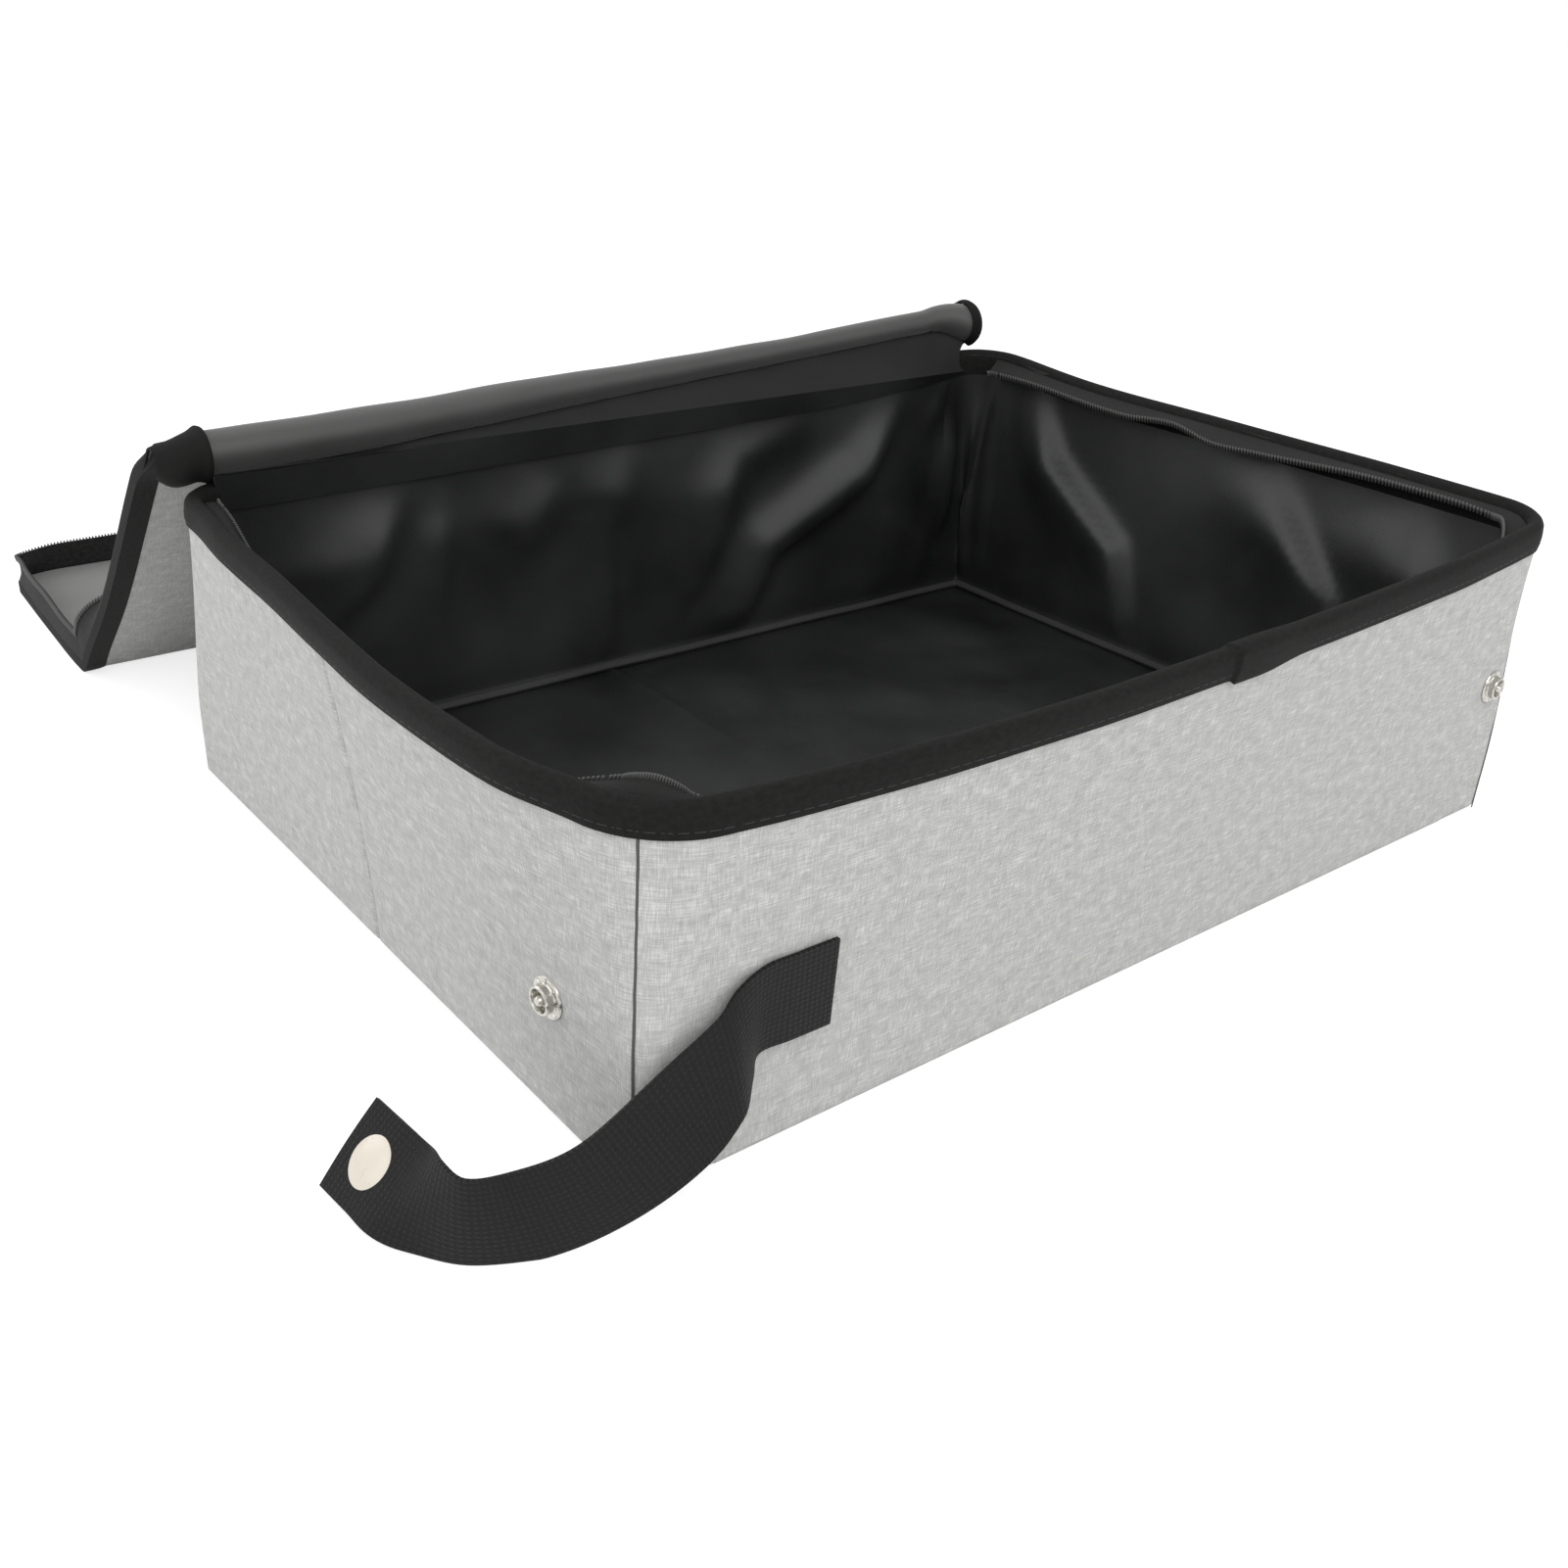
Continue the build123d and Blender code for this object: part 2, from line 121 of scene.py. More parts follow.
@contextmanager
def editing(piece: Piece) -> Iterator[None]:
    """Edit a piece's mesh with all of it selected, and come back to object mode."""
    take(piece)
    bpy.ops.object.mode_set(mode="EDIT")
    bpy.ops.mesh.select_all(action="SELECT")
    yield
    bpy.ops.object.mode_set(mode="OBJECT")


def modify(piece: Piece, kind: str, **settings: Setting) -> None:
    """Add a modifier and apply it.

    Args:
        piece: the mesh that it changes.
        kind: Blender's name of the modifier's type.
        settings: the modifier's properties.
    """
    take(piece)
    modifier = piece.modifiers.new(kind.title(), kind)
    for name, value in settings.items():
        setattr(modifier, name, value)
    bpy.ops.object.modifier_apply(modifier=modifier.name)


def smooth(piece: Piece, angle: float = 40.0) -> None:
    """Shade smooth, but for edges sharper than an angle in degrees."""
    take(piece)
    bpy.ops.object.shade_smooth_by_angle(angle=math.radians(angle))


def steps(first: float, last: float, pitch: float, extra: Sequence[float] = ()) -> list[float]:
    """Divide a run into near-equal steps.

    Args:
        first: where the run starts.
        last: where it ends.
        pitch: the longest step.
        extra: more stations to take in, where the shape turns quickly.

    Returns:
        The stations in order.
    """
    count = max(1, math.ceil(abs(last - first) / pitch))
    stations = {round(first + (last - first) * i / count, 6) for i in range(count + 1)}
    low, high = min(first, last), max(first, last)
    stations |= {round(x, 6) for x in extra if low < x < high}
    return sorted(stations, reverse=last < first)


def near(place: float, *offsets: float) -> list[float]:
    """Stations about a place, at offsets in millimetres."""
    return [place + offset * MM for offset in offsets]


def cloth(name: str, us: Sequence[float], vs: Sequence[float], place: Place, thickness: float) -> Piece:
    """Make a sheet from a grid, put each of its corners in place, and give it its thickness.

    The face that the placing function draws stays where it is, and the thickness goes behind it. The UV map
    is in metres, so that a weave keeps its thread size.

    Args:
        name: the piece's name.
        us: stations along the sheet, in metres.
        vs: stations across it.
        place: gives the point for a station along and a station across.
        thickness: the cloth's thickness, or 0 for none.

    Returns:
        The piece.
    """
    deselect()
    columns, rows = len(us) - 1, len(vs) - 1
    bpy.ops.mesh.primitive_grid_add(x_subdivisions=columns, y_subdivisions=rows, size=2, calc_uvs=True)
    piece = named(name)
    mesh = piece.data
    where = [(round((v.co.x + 1) / 2 * columns), round((v.co.y + 1) / 2 * rows)) for v in mesh.vertices]
    for vertex, (i, j) in zip(mesh.vertices, where):
        vertex.co = place(us[i], vs[j])
    for loop, corner in zip(mesh.loops, mesh.uv_layers.active.data):
        i, j = where[loop.vertex_index]
        corner.uv = (us[i], vs[j])
    if thickness:
        modify(piece, "SOLIDIFY", thickness=thickness, offset=-1.0)
    smooth(piece, 50)
    return piece


def turned(name: str, profile: Sequence[Pair], sides: int) -> Piece:
    """Spin a profile round Z, as on a lathe.

    Args:
        name: the piece's name.
        profile: (radius, height) points in metres, from the bottom to the top, on the axis at both ends.
        sides: how many steps the turn takes.

    Returns:
        The piece, with its poles closed and its faces outwards.
    """
    deselect()
    radius, height = profile[0]
    bpy.ops.mesh.primitive_circle_add(vertices=3, radius=1 * MM)
    piece = named(name)
    with editing(piece):
        bpy.ops.mesh.merge(type="CENTER")
        bpy.ops.transform.translate(value=(radius, 0, height))
        for (r0, z0), (r1, z1) in zip(profile, profile[1:]):
            bpy.ops.mesh.extrude_region_move(TRANSFORM_OT_translate={"value": (r1 - r0, 0, z1 - z0)})
        bpy.ops.mesh.select_all(action="SELECT")
        bpy.ops.mesh.spin(steps=sides, angle=math.tau, center=(0, 0, 0), axis=(0, 0, 1))
        bpy.ops.mesh.select_all(action="SELECT")
        bpy.ops.mesh.remove_doubles(threshold=1e-6)
        bpy.ops.mesh.normals_make_consistent(inside=False)
    smooth(piece)
    return piece


def move_to(piece: Piece, place: Matrix) -> Piece:
    """Put a piece in place through its mesh, so that its object stays at the origin."""
    piece.data.transform(place)
    return piece


def turn_to(axis: Vector, side: Vector, origin: Vector) -> Matrix:
    """The frame with Z along an axis and X near a side direction, at an origin."""
    z = axis.normalized()
    x = (side - z * side.dot(z)).normalized()
    y = z.cross(x)
    return Matrix.Translation(origin) @ Matrix((x, y, z)).transposed().to_4x4()


def join(name: str, parts: Sequence[Piece]) -> Piece:
    """Join several meshes into one piece."""
    deselect()
    for part in parts:
        part.select_set(True)
    bpy.context.view_layer.objects.active = parts[0]
    if len(parts) > 1:
        bpy.ops.object.join()
    return named(name)


def copies(name: str, unit: Piece, places: Sequence[Matrix]) -> Piece:
    """Copy a small shape to many places, in one mesh, and remove the shape itself.

    Args:
        name: the piece's name.
        unit: the shape, at the origin.
        places: where each copy goes.

    Returns:
        The piece.
    """
    points, faces = [], []
    for place in places:
        base = len(points)
        points += [place @ v.co for v in unit.data.vertices]
        faces += [tuple(base + k for k in polygon.vertices) for polygon in unit.data.polygons]
    mesh = bpy.data.meshes.new(name)
    mesh.from_pydata(points, [], faces)
    bpy.data.objects.remove(unit)
    piece = bpy.data.objects.new(name, mesh)
    bpy.context.scene.collection.objects.link(piece)
    smooth(piece, 60)
    return piece


def ease(x: float, low: float, high: float) -> float:
    """A smooth step from 0 at low to 1 at high."""
    t = min(1.0, max(0.0, (x - low) / (high - low)))
    return t * t * (3 - 2 * t)


def bump(x: float, middle: float, width: float) -> float:
    """A soft hump of height 1."""
    return math.exp(-(((x - middle) / width) ** 2))


def through(points: Sequence[Value], places: Sequence[float], u: float) -> Value:
    """A smooth curve through points, read at a distance along it.

    Args:
        points: the points or numbers that it passes.
        places: each point's distance.
        u: the distance to read.

    Returns:
        The point or number there.
    """
    u = min(max(u, places[0]), places[-1])
    index = max(i for i in range(len(places) - 1) if places[i] <= u + 1e-12)

    def slope(i: int) -> Value:
        low, high = max(i - 1, 0), min(i + 1, len(points) - 1)
        return (points[high] - points[low]) / (places[high] - places[low])

    span = places[index + 1] - places[index]
    t = (u - places[index]) / span
    a, b = points[index], points[index + 1]
    ma, mb = slope(index) * span, slope(index + 1) * span
    return (a * (2 * t ** 3 - 3 * t ** 2 + 1) + ma * (t ** 3 - 2 * t ** 2 + t)
            + b * (3 * t ** 2 - 2 * t ** 3) + mb * (t ** 3 - t ** 2))


@dataclass(frozen=True)
class Line:
    """A measure that changes smoothly along an edge, given at a few places in millimetres."""

    marks: tuple[Pair, ...]

    def at(self, place: float) -> float:
        """The measure at a place, both in metres."""
        places, values = zip(*self.marks)
        return through(values, places, place / MM) * MM


def unevenness(p: Vector, size: float, seed: float) -> float:
    """Smooth noise from -1 to 1.

    Args:
        p: where it is read.
        size: how large its lumps are, in metres.
        seed: picks another pattern.

    Returns:
        The noise there.
    """
    return noise.noise(p / size + Vector((seed, seed * 0.37, -seed)))


def along_edge(s: float, size: float, seed: float) -> float:
    """Smooth noise from -1 to 1 along an edge, read at a distance on it."""
    return unevenness(Vector((s, 0, 0)), size, seed)


# Materials


def linear(colour: str) -> tuple[float, float, float, float]:
    """Turn an sRGB hex colour to linear RGBA."""
    def channel(start: int) -> float:
        value = int(colour[start:start + 2], 16) / 255
        return value / 12.92 if value <= 0.04045 else ((value + 0.055) / 1.055) ** 2.4
    return channel(1), channel(3), channel(5), 1.0


def add_node(tree: Tree, kind: str, settings: Optional[dict] = None, links: Optional[dict] = None,
             into: Optional[Socket] = None) -> Node:
    """Add a shader node with its settings and links.

    Args:
        tree: the material's node tree.
        kind: the node's type.
        settings: values by property name, input name or input number. "ramp" takes (place, colour) pairs.
        links: output sockets by input name or number.
        into: the input that its first output feeds.

    Returns:
        The node.
    """
    node = tree.nodes.new(kind)
    for key, value in (settings or {}).items():
        if key == "ramp":
            elements = node.color_ramp.elements
            while len(elements) < len(value):
                elements.new(0.5)
            for element, (place, colour) in zip(elements, value):
                element.position, element.color = place, linear(colour)
        elif isinstance(key, int) or key in node.inputs:
            node.inputs[key].default_value = value
        else:
            setattr(node, key, value)
    for key, socket in (links or {}).items():
        tree.links.new(socket, node.inputs[key])
    if into is not None:
        tree.links.new(node.outputs[0], into)
    return node


@dataclass(frozen=True)
class Look:
    """What varies over a surface, each thing by a pattern from 0 to 1.

    The height has a strength, the colour has hex stops along its pattern, and the gloss has how far it goes
    below and above the finish's roughness.
    """

    height: Socket
    strength: float
    tint: Optional[Socket] = None
    stops: tuple[tuple[float, str], ...] = ()
    gloss: Optional[Socket] = None
    spread: Pair = (0.0, 0.0)


@dataclass(frozen=True)
class Finish:
    """A material: what it is made of and how its surface was made."""

    name: str
    slot: Slot
    colour: str
    roughness: float
    metallic: float = 0.0
    specular: float = 0.5
    coat: float = 0.0
    sheen: float = 0.0
    # The height of its pattern in millimetres
    relief: float = 0.1

    def look(self, tree: Tree) -> Look:
        """Add the pattern. Each kind of finish has its own."""
        raise NotImplementedError

    def build(self) -> bpy.types.Material:
        """Make the material, with its look linked to the shader."""
        material = bpy.data.materials.new(self.name)
        material.use_nodes = True
        material.diffuse_color = linear(self.colour)
        tree = material.node_tree
        shader = tree.nodes["Principled BSDF"]
        values = {"Base Color": linear(self.colour), "Roughness": self.roughness, "Metallic": self.metallic,
                  "Specular IOR Level": self.specular, "Coat Weight": self.coat, "Sheen Weight": self.sheen}
        for name, value in values.items():
            shader.inputs[name].default_value = value
        look = self.look(tree)
        if look.tint is not None:
            add_node(tree, "ShaderNodeValToRGB", {"ramp": look.stops}, {"Fac": look.tint},
                     shader.inputs["Base Color"])
        if look.gloss is not None:
            low, high = (self.roughness + change for change in look.spread)
            add_node(tree, "ShaderNodeMapRange", {"To Min": low, "To Max": high}, {"Value": look.gloss},
                     shader.inputs["Roughness"])
        add_node(tree, "ShaderNodeBump", {"Strength": look.strength, "Distance": self.relief * MM},
                 {"Height": look.height}, shader.inputs["Normal"])
        return material


def mapped(tree: Tree, output: str, *cell: float) -> Socket:
    """Coordinates counted in cells of a real size.

    Args:
        tree: the material's tree.
        output: "UV" or "Object".
        cell: the cell's size along each axis, in millimetres. On a UV map the third may be left out.

    Returns:
        The vector socket.
    """
    source = add_node(tree, "ShaderNodeTexCoord")
    scale = tuple(1 / (side * MM) for side in (*cell, FLAT)[:3])
    links = {"Vector": source.outputs[output]}
    return add_node(tree, "ShaderNodeMapping", {"Scale": scale}, links).outputs[0]


def threads(tree: Tree, width: float, length: float, detail: float = 2.0) -> Socket:
    """Noise drawn out along a thread's run, from 0 to 1, over cells of a size in millimetres."""
    return add_node(tree, "ShaderNodeTexNoise", {"Scale": 1.0, "Detail": detail, "Roughness": 0.6},
                    {"Vector": mapped(tree, "UV", width, length)}).outputs["Fac"]


def ribs(tree: Tree, across: float = 0.0, along: float = 0.0) -> Socket:
    """Even ridges from 0 to 1, across a piece, along it, or both, where only the crossings stand up.

    Args:
        tree: the material's tree.
        across: the pitch of the ridges across the piece in millimetres, or 0 for none.
        along: the pitch of the ridges along it, or 0 for none.

    Returns:
        The height.
    """
    # A band of the wave texture at scale 1 repeats every pi/10
    ways = [add_node(tree, "ShaderNodeTexWave",
                     {"bands_direction": direction, "Scale": math.pi / 10, "Distortion": 0.0},
                     {"Vector": mapped(tree, "UV", pitch, pitch)}).outputs["Fac"]
            for direction, pitch in (("X", across), ("Y", along)) if pitch]
    if len(ways) == 1:
        return ways[0]
    return add_node(tree, "ShaderNodeMath", {"operation": "MULTIPLY"}, dict(enumerate(ways))).outputs[0]


def mixture(tree: Tree, *parts: tuple[Socket, float]) -> Socket:
    """The sum of several patterns, each with its weight."""
    total: Optional[Socket] = None
    for pattern, weight in parts:
        settings = {"operation": "MULTIPLY_ADD", 1: weight, 2: 0.0}
        links = {0: pattern} if total is None else {0: pattern, 2: total}
        total = add_node(tree, "ShaderNodeMath", settings, links).outputs[0]
    return total


@dataclass(frozen=True)
class Linen(Finish):
    """Heathered polyester canvas, plain woven from slub yarn, so short pale and dark dashes cross."""

    # In millimetres: thread spacing, slub length and the weave's pitch. The real yarns lie about 0.3 mm
    # apart. They are drawn coarser, so that they show.
    thread: float = 0.5
    slub: float = 5.0
    rib: float = 0.65
    dark: str = "#A5A5A3"
    pale: str = "#D6D6D3"

    def look(self, tree: Tree) -> Look:
        """Cross dashes of warp and weft over a faint cloudiness."""
        warp = threads(tree, self.thread, self.slub)
        weft = threads(tree, self.slub * 1.4, self.thread)
        cloud = threads(tree, 6.0, 4.5, 3.0)
        tone = mixture(tree, (warp, 0.38), (weft, 0.38), (cloud, 0.24))
        height = mixture(tree, (ribs(tree, self.rib, self.rib), 1.0), (warp, 1.0), (weft, 1.0))
        return Look(height, 0.5, tone, ((0.36, self.dark), (0.5, self.colour), (0.64, self.pale)))


@dataclass(frozen=True)
class CoatedCloth(Finish):
    """Nylon cloth with a waterproof film, smooth, with a soft gloss that the creases catch."""

    # In millimetres: the clouds of colour, the handling creases and the weave under the film. Its real
    # threads lie about 0.2 mm apart. They are drawn coarser, so that they show.
    cloud: float = 60.0
    creases: float = 9.0
    rib: float = 0.8
    pale: str = "#2A2C2B"
    relief: float = 0.2

    def look(self, tree: Tree) -> Look:
        """Faint clouds of colour, uneven gloss and small handling creases."""
        cloud = add_node(tree, "ShaderNodeTexNoise", {"Scale": 1.0, "Detail": 3.0},
                         {"Vector": mapped(tree, "Object", *[self.cloud] * 3)}).outputs["Fac"]
        small = mapped(tree, "Object", self.creases, self.creases, self.creases * 2)
        crease = add_node(tree, "ShaderNodeTexNoise", {"Scale": 1.0, "Detail": 4.0, "Distortion": 0.6},
                          {"Vector": small}).outputs["Fac"]
        height = mixture(tree, (ribs(tree, self.rib, self.rib), 0.2), (crease, 1.0))
        return Look(height, 0.5, cloud, ((0.3, self.colour), (0.75, self.pale)), cloud, (-0.06, 0.1))


@dataclass(frozen=True)
class RibbedTape(Finish):
    """Polyester tape, woven with fine ribs across it, dull, a little paler where handling has rubbed it."""

    # The ribs' pitch in millimetres, as woven
    rib: float = 0.8
    pale: str = "#1C1C1B"

    def look(self, tree: Tree) -> Look:
        """Ribs across the tape and a soft, fine unevenness."""
        dust = threads(tree, 2.4, 1.6, 3.0)
        height = mixture(tree, (ribs(tree, self.rib), 0.5), (dust, 1.0))
        return Look(height, 0.6, dust, ((0.35, self.colour), (0.8, self.pale)))


@dataclass(frozen=True)
class WovenWebbing(Finish):
    """Polypropylene webbing, a coarse basket weave whose crossings stand up and catch the light."""

    # The weave's cell along the webbing in millimetres, as woven
    cell: float = 1.65
    pale: str = "#1D1E1D"
    relief: float = 0.5

    def look(self, tree: Tree) -> Look:
        """A basket weave in height, its raised crossings painted paler as painted highlight, with uneven
        fibres over it.
        """
        basket = ribs(tree, self.cell, self.cell * 0.9)
        fibre = threads(tree, 1.4, 0.9, 3.0)
        height = mixture(tree, (basket, 0.7), (fibre, 0.7))
        # Colour follows the height: painted highlight on the raised crossings, and a random tone from the
        # fibres
        return Look(height, 0.8, height, ((0.2, self.colour), (1.0, self.pale)))


@dataclass(frozen=True)
class HardFinish(Finish):
    """A plated, painted or moulded small part, with faint handling marks."""

    # The marks' size in millimetres
    marks: float = 0.8
    relief: float = 0.03

    def look(self, tree: Tree) -> Look:
        """Fine marks in the gloss and height."""
        mark = add_node(tree, "ShaderNodeTexNoise", {"Scale": 1.0, "Detail": 3.0},
                        {"Vector": mapped(tree, "Object", *[self.marks] * 3)}).outputs["Fac"]
        return Look(mark, 0.4, gloss=mark, spread=(-0.08, 0.12))


# The walls' canvas and the waterproofed nylon inside, then the same nylon with painted sheen on the roll and
# lid, a painted highlight on the folded edge at the floor, and painted shade on the strip under the roll
LINEN = Linen("heathered_canvas", Slot.LINEN, "#B9B9B7", 0.92, sheen=0.05)
LINING = CoatedCloth("coated_nylon", Slot.LINING, "#111312", 0.36, specular=0.6)
# The roll: the lining's nylon, painted paler than the lining as painted sheen
RIDGE_SHEEN = CoatedCloth("coated_nylon_ridge", Slot.LINING, "#343433", 0.45, specular=0.6, sheen=0.25,
                    pale="#424241")
# The lid's lining: the same nylon, painted paler than the tray's lining as painted sheen
LID_LINING_SHEEN = CoatedCloth("coated_nylon_lid", Slot.LINING, "#616160", 0.5, sheen=0.3, pale="#727271")
# The folded edge at the floor: the same nylon, painted paler than the lining as a painted highlight
WELT_HIGHLIGHT = CoatedCloth("coated_nylon_folded_edge", Slot.LINING, "#2C2D2C", 0.75, specular=0.3, pale="#3A3B3A")
# The strip under the roll: the roll's nylon, painted darker as painted shade
RISE_SHADE = CoatedCloth("coated_nylon_rise", Slot.LINING, "#202120", 0.75, specular=0.3, pale="#2C2D2C")
# Grosgrain binding, zip tape, and polyester thread
BINDING = RibbedTape("ribbed_binding", Slot.BINDING, "#0E0E0D", 0.8, specular=0.22)
ZIP_TAPE = RibbedTape("zip_tape_twill", Slot.ZIP, "#161616", 0.8, specular=0.3, rib=0.7, pale="#2C2C2B")
THREAD = HardFinish("sewing_thread", Slot.BINDING, "#2E2E2D", 0.6, marks=0.3)
SEAM = HardFinish("grey_sewing_thread", Slot.BINDING, "#4C4C4A", 0.7, marks=0.3)
# A spun nylon coil, woven webbing, and the small parts: plated brass, enamelled steel and painted zinc
# The coil is black nylon; its dark grey colour is partly painted highlight for its shine
COIL = HardFinish("nylon_coil", Slot.ZIP, "#444443", 0.35, specular=0.5)
WEBBING = WovenWebbing("polypropylene_webbing", Slot.WEBBING, "#0A0B0A", 0.6, specular=0.25)
NICKEL = HardFinish("nickel_plated_brass", Slot.SNAP, "#C9C7C0", 0.24, metallic=1.0)
ENAMEL = HardFinish("cream_enamel", Slot.CAP, "#D9D2C4", 0.28, coat=0.3, marks=1.5)
PAINTED_ZINC = HardFinish("painted_zinc", Slot.SLIDER, "#1A1A1A", 0.35, specular=0.6)


class Wardrobe:
    """Builds each finish once and dresses pieces with it."""

    def __init__(self) -> None:
        """Start with nothing built."""
        self.made: dict[str, bpy.types.Material] = {}

    def dress(self, piece: Piece, finish: Finish) -> Piece:
        """Give a piece its material.

        Args:
            piece: the piece.
            finish: its material.

        Returns:
            The piece.
        """
        if finish.name not in self.made:
            self.made[finish.name] = finish.build()
        piece.data.materials.clear()
        piece.data.materials.append(self.made[finish.name])
        return piece


# The rim line


@dataclass(frozen=True)
class Stretch:
    """A stretch of the tray's outline, counted counterclockwise from the corner by the strap."""

    name: str
    start: float
    end: float
    bodies: tuple[str, ...]
    # How far from its ends a corner's cloth is already stiff
    ease_in: float = 7 * MM

    @property
    def middle(self) -> float:
        """The place halfway along it."""
        return (self.start + self.end) / 2


@dataclass
class Outline:
    """The tray's outline as it stands, with rounded rim corners and bowed walls, in metres."""

    length: float = 400 * MM
    depth: float = 300 * MM
    height: float = 116 * MM
    rim_top: float = 116.8 * MM
    wall: float = 5 * MM
    # How far a corner's stretch reaches along each of its walls
    zone: float = 25 * MM
    # The corners' radius at the ground and at the rim
    foot_radius: float = 2.5 * MM
    rim_radius: float = 21 * MM
    # How far each wall's rim bows out, along X or along Y
    bow_left: Line = Line(((-150, 0), (-130, 3.5), (-105, 11), (-75, 14), (-40, 14.7), (0, 12), (45, 8),
                           (90, 5), (120, 1.2), (150, 0)))
    bow_right: Line = Line(((-150, 4), (-120, 9), (-60, 13), (60, 13), (120, 8), (150, 0)))
    bow_front: Line = Line(((-200, 0), (-160, 7.5), (-120, 12), (-80, 14.5), (-40, 15.5), (40, 14.2),
                            (120, 10.5), (160, 6), (200, 0)))
    bow_back: Line = Line(((-200, 0), (0, 2), (200, 0)))
    # How far the right front corner leans out and the right back corner rises, and how wide each change is
    corner_lean: float = 3 * MM
    corner_rise: float = 7 * MM
    corner_reach: float = 50 * MM
    # The rim rises to the right, as a share of X
    rim_tilt: float = 0.01875
    rim_drop: float = 0.75 * MM
    waver: float = 0.4 * MM
    # How fast the bow grows with height, and how far from the crease a short wall bends as it folds
    lift_power: float = 1.5
    fold_reach: float = 70 * MM
    corner_pitch: float = 2.5 * MM

    def __post_init__(self) -> None:
        """Work out the corners, each with its place, its point and the runs before and after it."""
        half_x, half_y = self.length / 2, self.depth / 2
        self.corners: list[tuple[float, Vector, Vector, Vector]] = [
            (0.0, Vector((-half_x, -half_y)), Vector((0, -1)), Vector((1, 0))),
            (self.length, Vector((half_x, -half_y)), Vector((1, 0)), Vector((0, 1))),
            (self.length + self.depth, Vector((half_x, half_y)), Vector((0, 1)), Vector((-1, 0))),
            (2 * self.length + self.depth, Vector((-half_x, half_y)), Vector((-1, 0)), Vector((0, -1))),
        ]
        self.round: float = 2 * (self.length + self.depth)
        first, right, far, left = (corner[0] for corner in self.corners)
        z = self.zone
        self.stretches: list[Stretch] = [
            Stretch("front", first + z, right - z, ("front",)),
            Stretch("front_right", right - z, right + z, ("front", "right_corner")),
            Stretch("right", right + z, far - z, ("right_front", "right_back")),
            Stretch("back_right", far - z, far + z, ("right_back", "back")),
            Stretch("back", far + z, left - z, ("back",)),
            Stretch("back_left", left - z, left + z, ("back", "left_back")),
            Stretch("left", left + z, self.round - z, ("left_back", "left_front")),
            Stretch("front_left", self.round - z, self.round + z, ("left_front", "front")),
        ]

    def radius(self, height: float, inset: float) -> float:
        """The corner radius of the outer face at a height, wide enough for a face that lies inset from it."""
        share = ease(height, 0.1 * self.height, self.height)
        return max(self.foot_radius + (self.rim_radius - self.foot_radius) * share, inset + 1.5 * MM)

    def flat_place(self, s: float, radius: float) -> tuple[Vector, Vector]:
        """The point and outward direction on the unbowed outline.

        Args:
            s: distance along the outline.
            radius: the corners' radius.

        Returns:
            The point and the direction, both in plan.
        """
        s %= self.round
        for place, corner, before, after in self.corners:
            away = (s - place + self.round / 2) % self.round - self.round / 2
            if abs(away) > self.zone:
                continue
            arc = radius * math.pi / 2
            whole = 2 * (self.zone - radius) + arc
            run = (away + self.zone) / (2 * self.zone) * whole
            out_before, out_after = Vector((before.y, -before.x)), Vector((after.y, -after.x))
            if run < self.zone - radius:
                return corner - before * (self.zone - run), out_before
            if run > self.zone - radius + arc:
                return corner + after * (self.zone - (whole - run)), out_after
            angle = (run - self.zone + radius) / radius
            outward = out_before * math.cos(angle) + out_after * math.sin(angle)
            return corner - before * radius + after * radius + outward * radius, outward
        for place, corner, _, after in reversed(self.corners):
            if s >= place:
                return corner + after * (s - place), Vector((after.y, -after.x))
        raise ValueError(s)

    def bowed(self, p: Vector) -> Vector:
        """Move a point of the straight tray to where the bowed tray has it."""
        lift = max(0.0, min(1.0, p.z / self.height)) ** self.lift_power
        flat = Vector((p.x, p.y, 0))
        half_x, half_y = self.length / 2, self.depth / 2
        across = (self.bow_left if p.x < 0 else self.bow_right).at(p.y)
        along = (self.bow_front if p.y < 0 else self.bow_back).at(p.x)
        at_front = bump((flat - Vector((half_x, -half_y, 0))).length, 0, self.corner_reach)
        at_back = bump((flat - Vector((half_x, half_y, 0))).length, 0, self.corner_reach)
        x = across * p.x / half_x + self.corner_lean * at_front
        y = along * p.y / half_y
        rise = p.x * self.rim_tilt - self.rim_drop + self.corner_rise * at_back
        rise += unevenness(flat, 0.09, 9.0) * self.waver
        uneven = flat.normalized() * unevenness(flat, 0.06, 3.0) * self.waver
        return p + (Vector((x, y, rise)) + uneven) * lift

    def at(self, s: float, height: float, inset: float) -> Vector:
        """The point at a distance along the outline, at a height, inset from the outer face."""
        point, outward = self.flat_place(s, self.radius(height, inset))
        flat = point - outward * inset
        return self.bowed(Vector((flat.x, flat.y, height)))

    def outward(self, s: float, height: float, inset: float) -> Vector:
        """The outward direction there."""
        before, after = self.at(s - 1 * MM, height, inset), self.at(s + 1 * MM, height, inset)
        return (after - before).cross(UP).normalized()

    def matrix(self, s: float, height: float, inset: float) -> Matrix:
        """A frame on the outline, with X along it, Y outwards and Z up."""
        x = (self.at(s + 1 * MM, height, inset) - self.at(s - 1 * MM, height, inset)).normalized()
        y = x.cross(UP).normalized()
        turn = Matrix((x, y, y.cross(x))).transposed().to_4x4()
        return Matrix.Translation(self.at(s, height, inset)) @ turn

    def rounds_corner(self, stretch: Stretch) -> bool:
        """Whether a stretch only goes round a corner."""
        return stretch.end - stretch.start < 2.1 * self.zone

    def stations(self, stretch: Stretch, pitch: float, extra: Sequence[float] = ()) -> list[float]:
        """Stations along a stretch, closer together in a corner."""
        if self.rounds_corner(stretch):
            pitch = min(pitch, self.corner_pitch)
        return steps(stretch.start, stretch.end, pitch, extra)

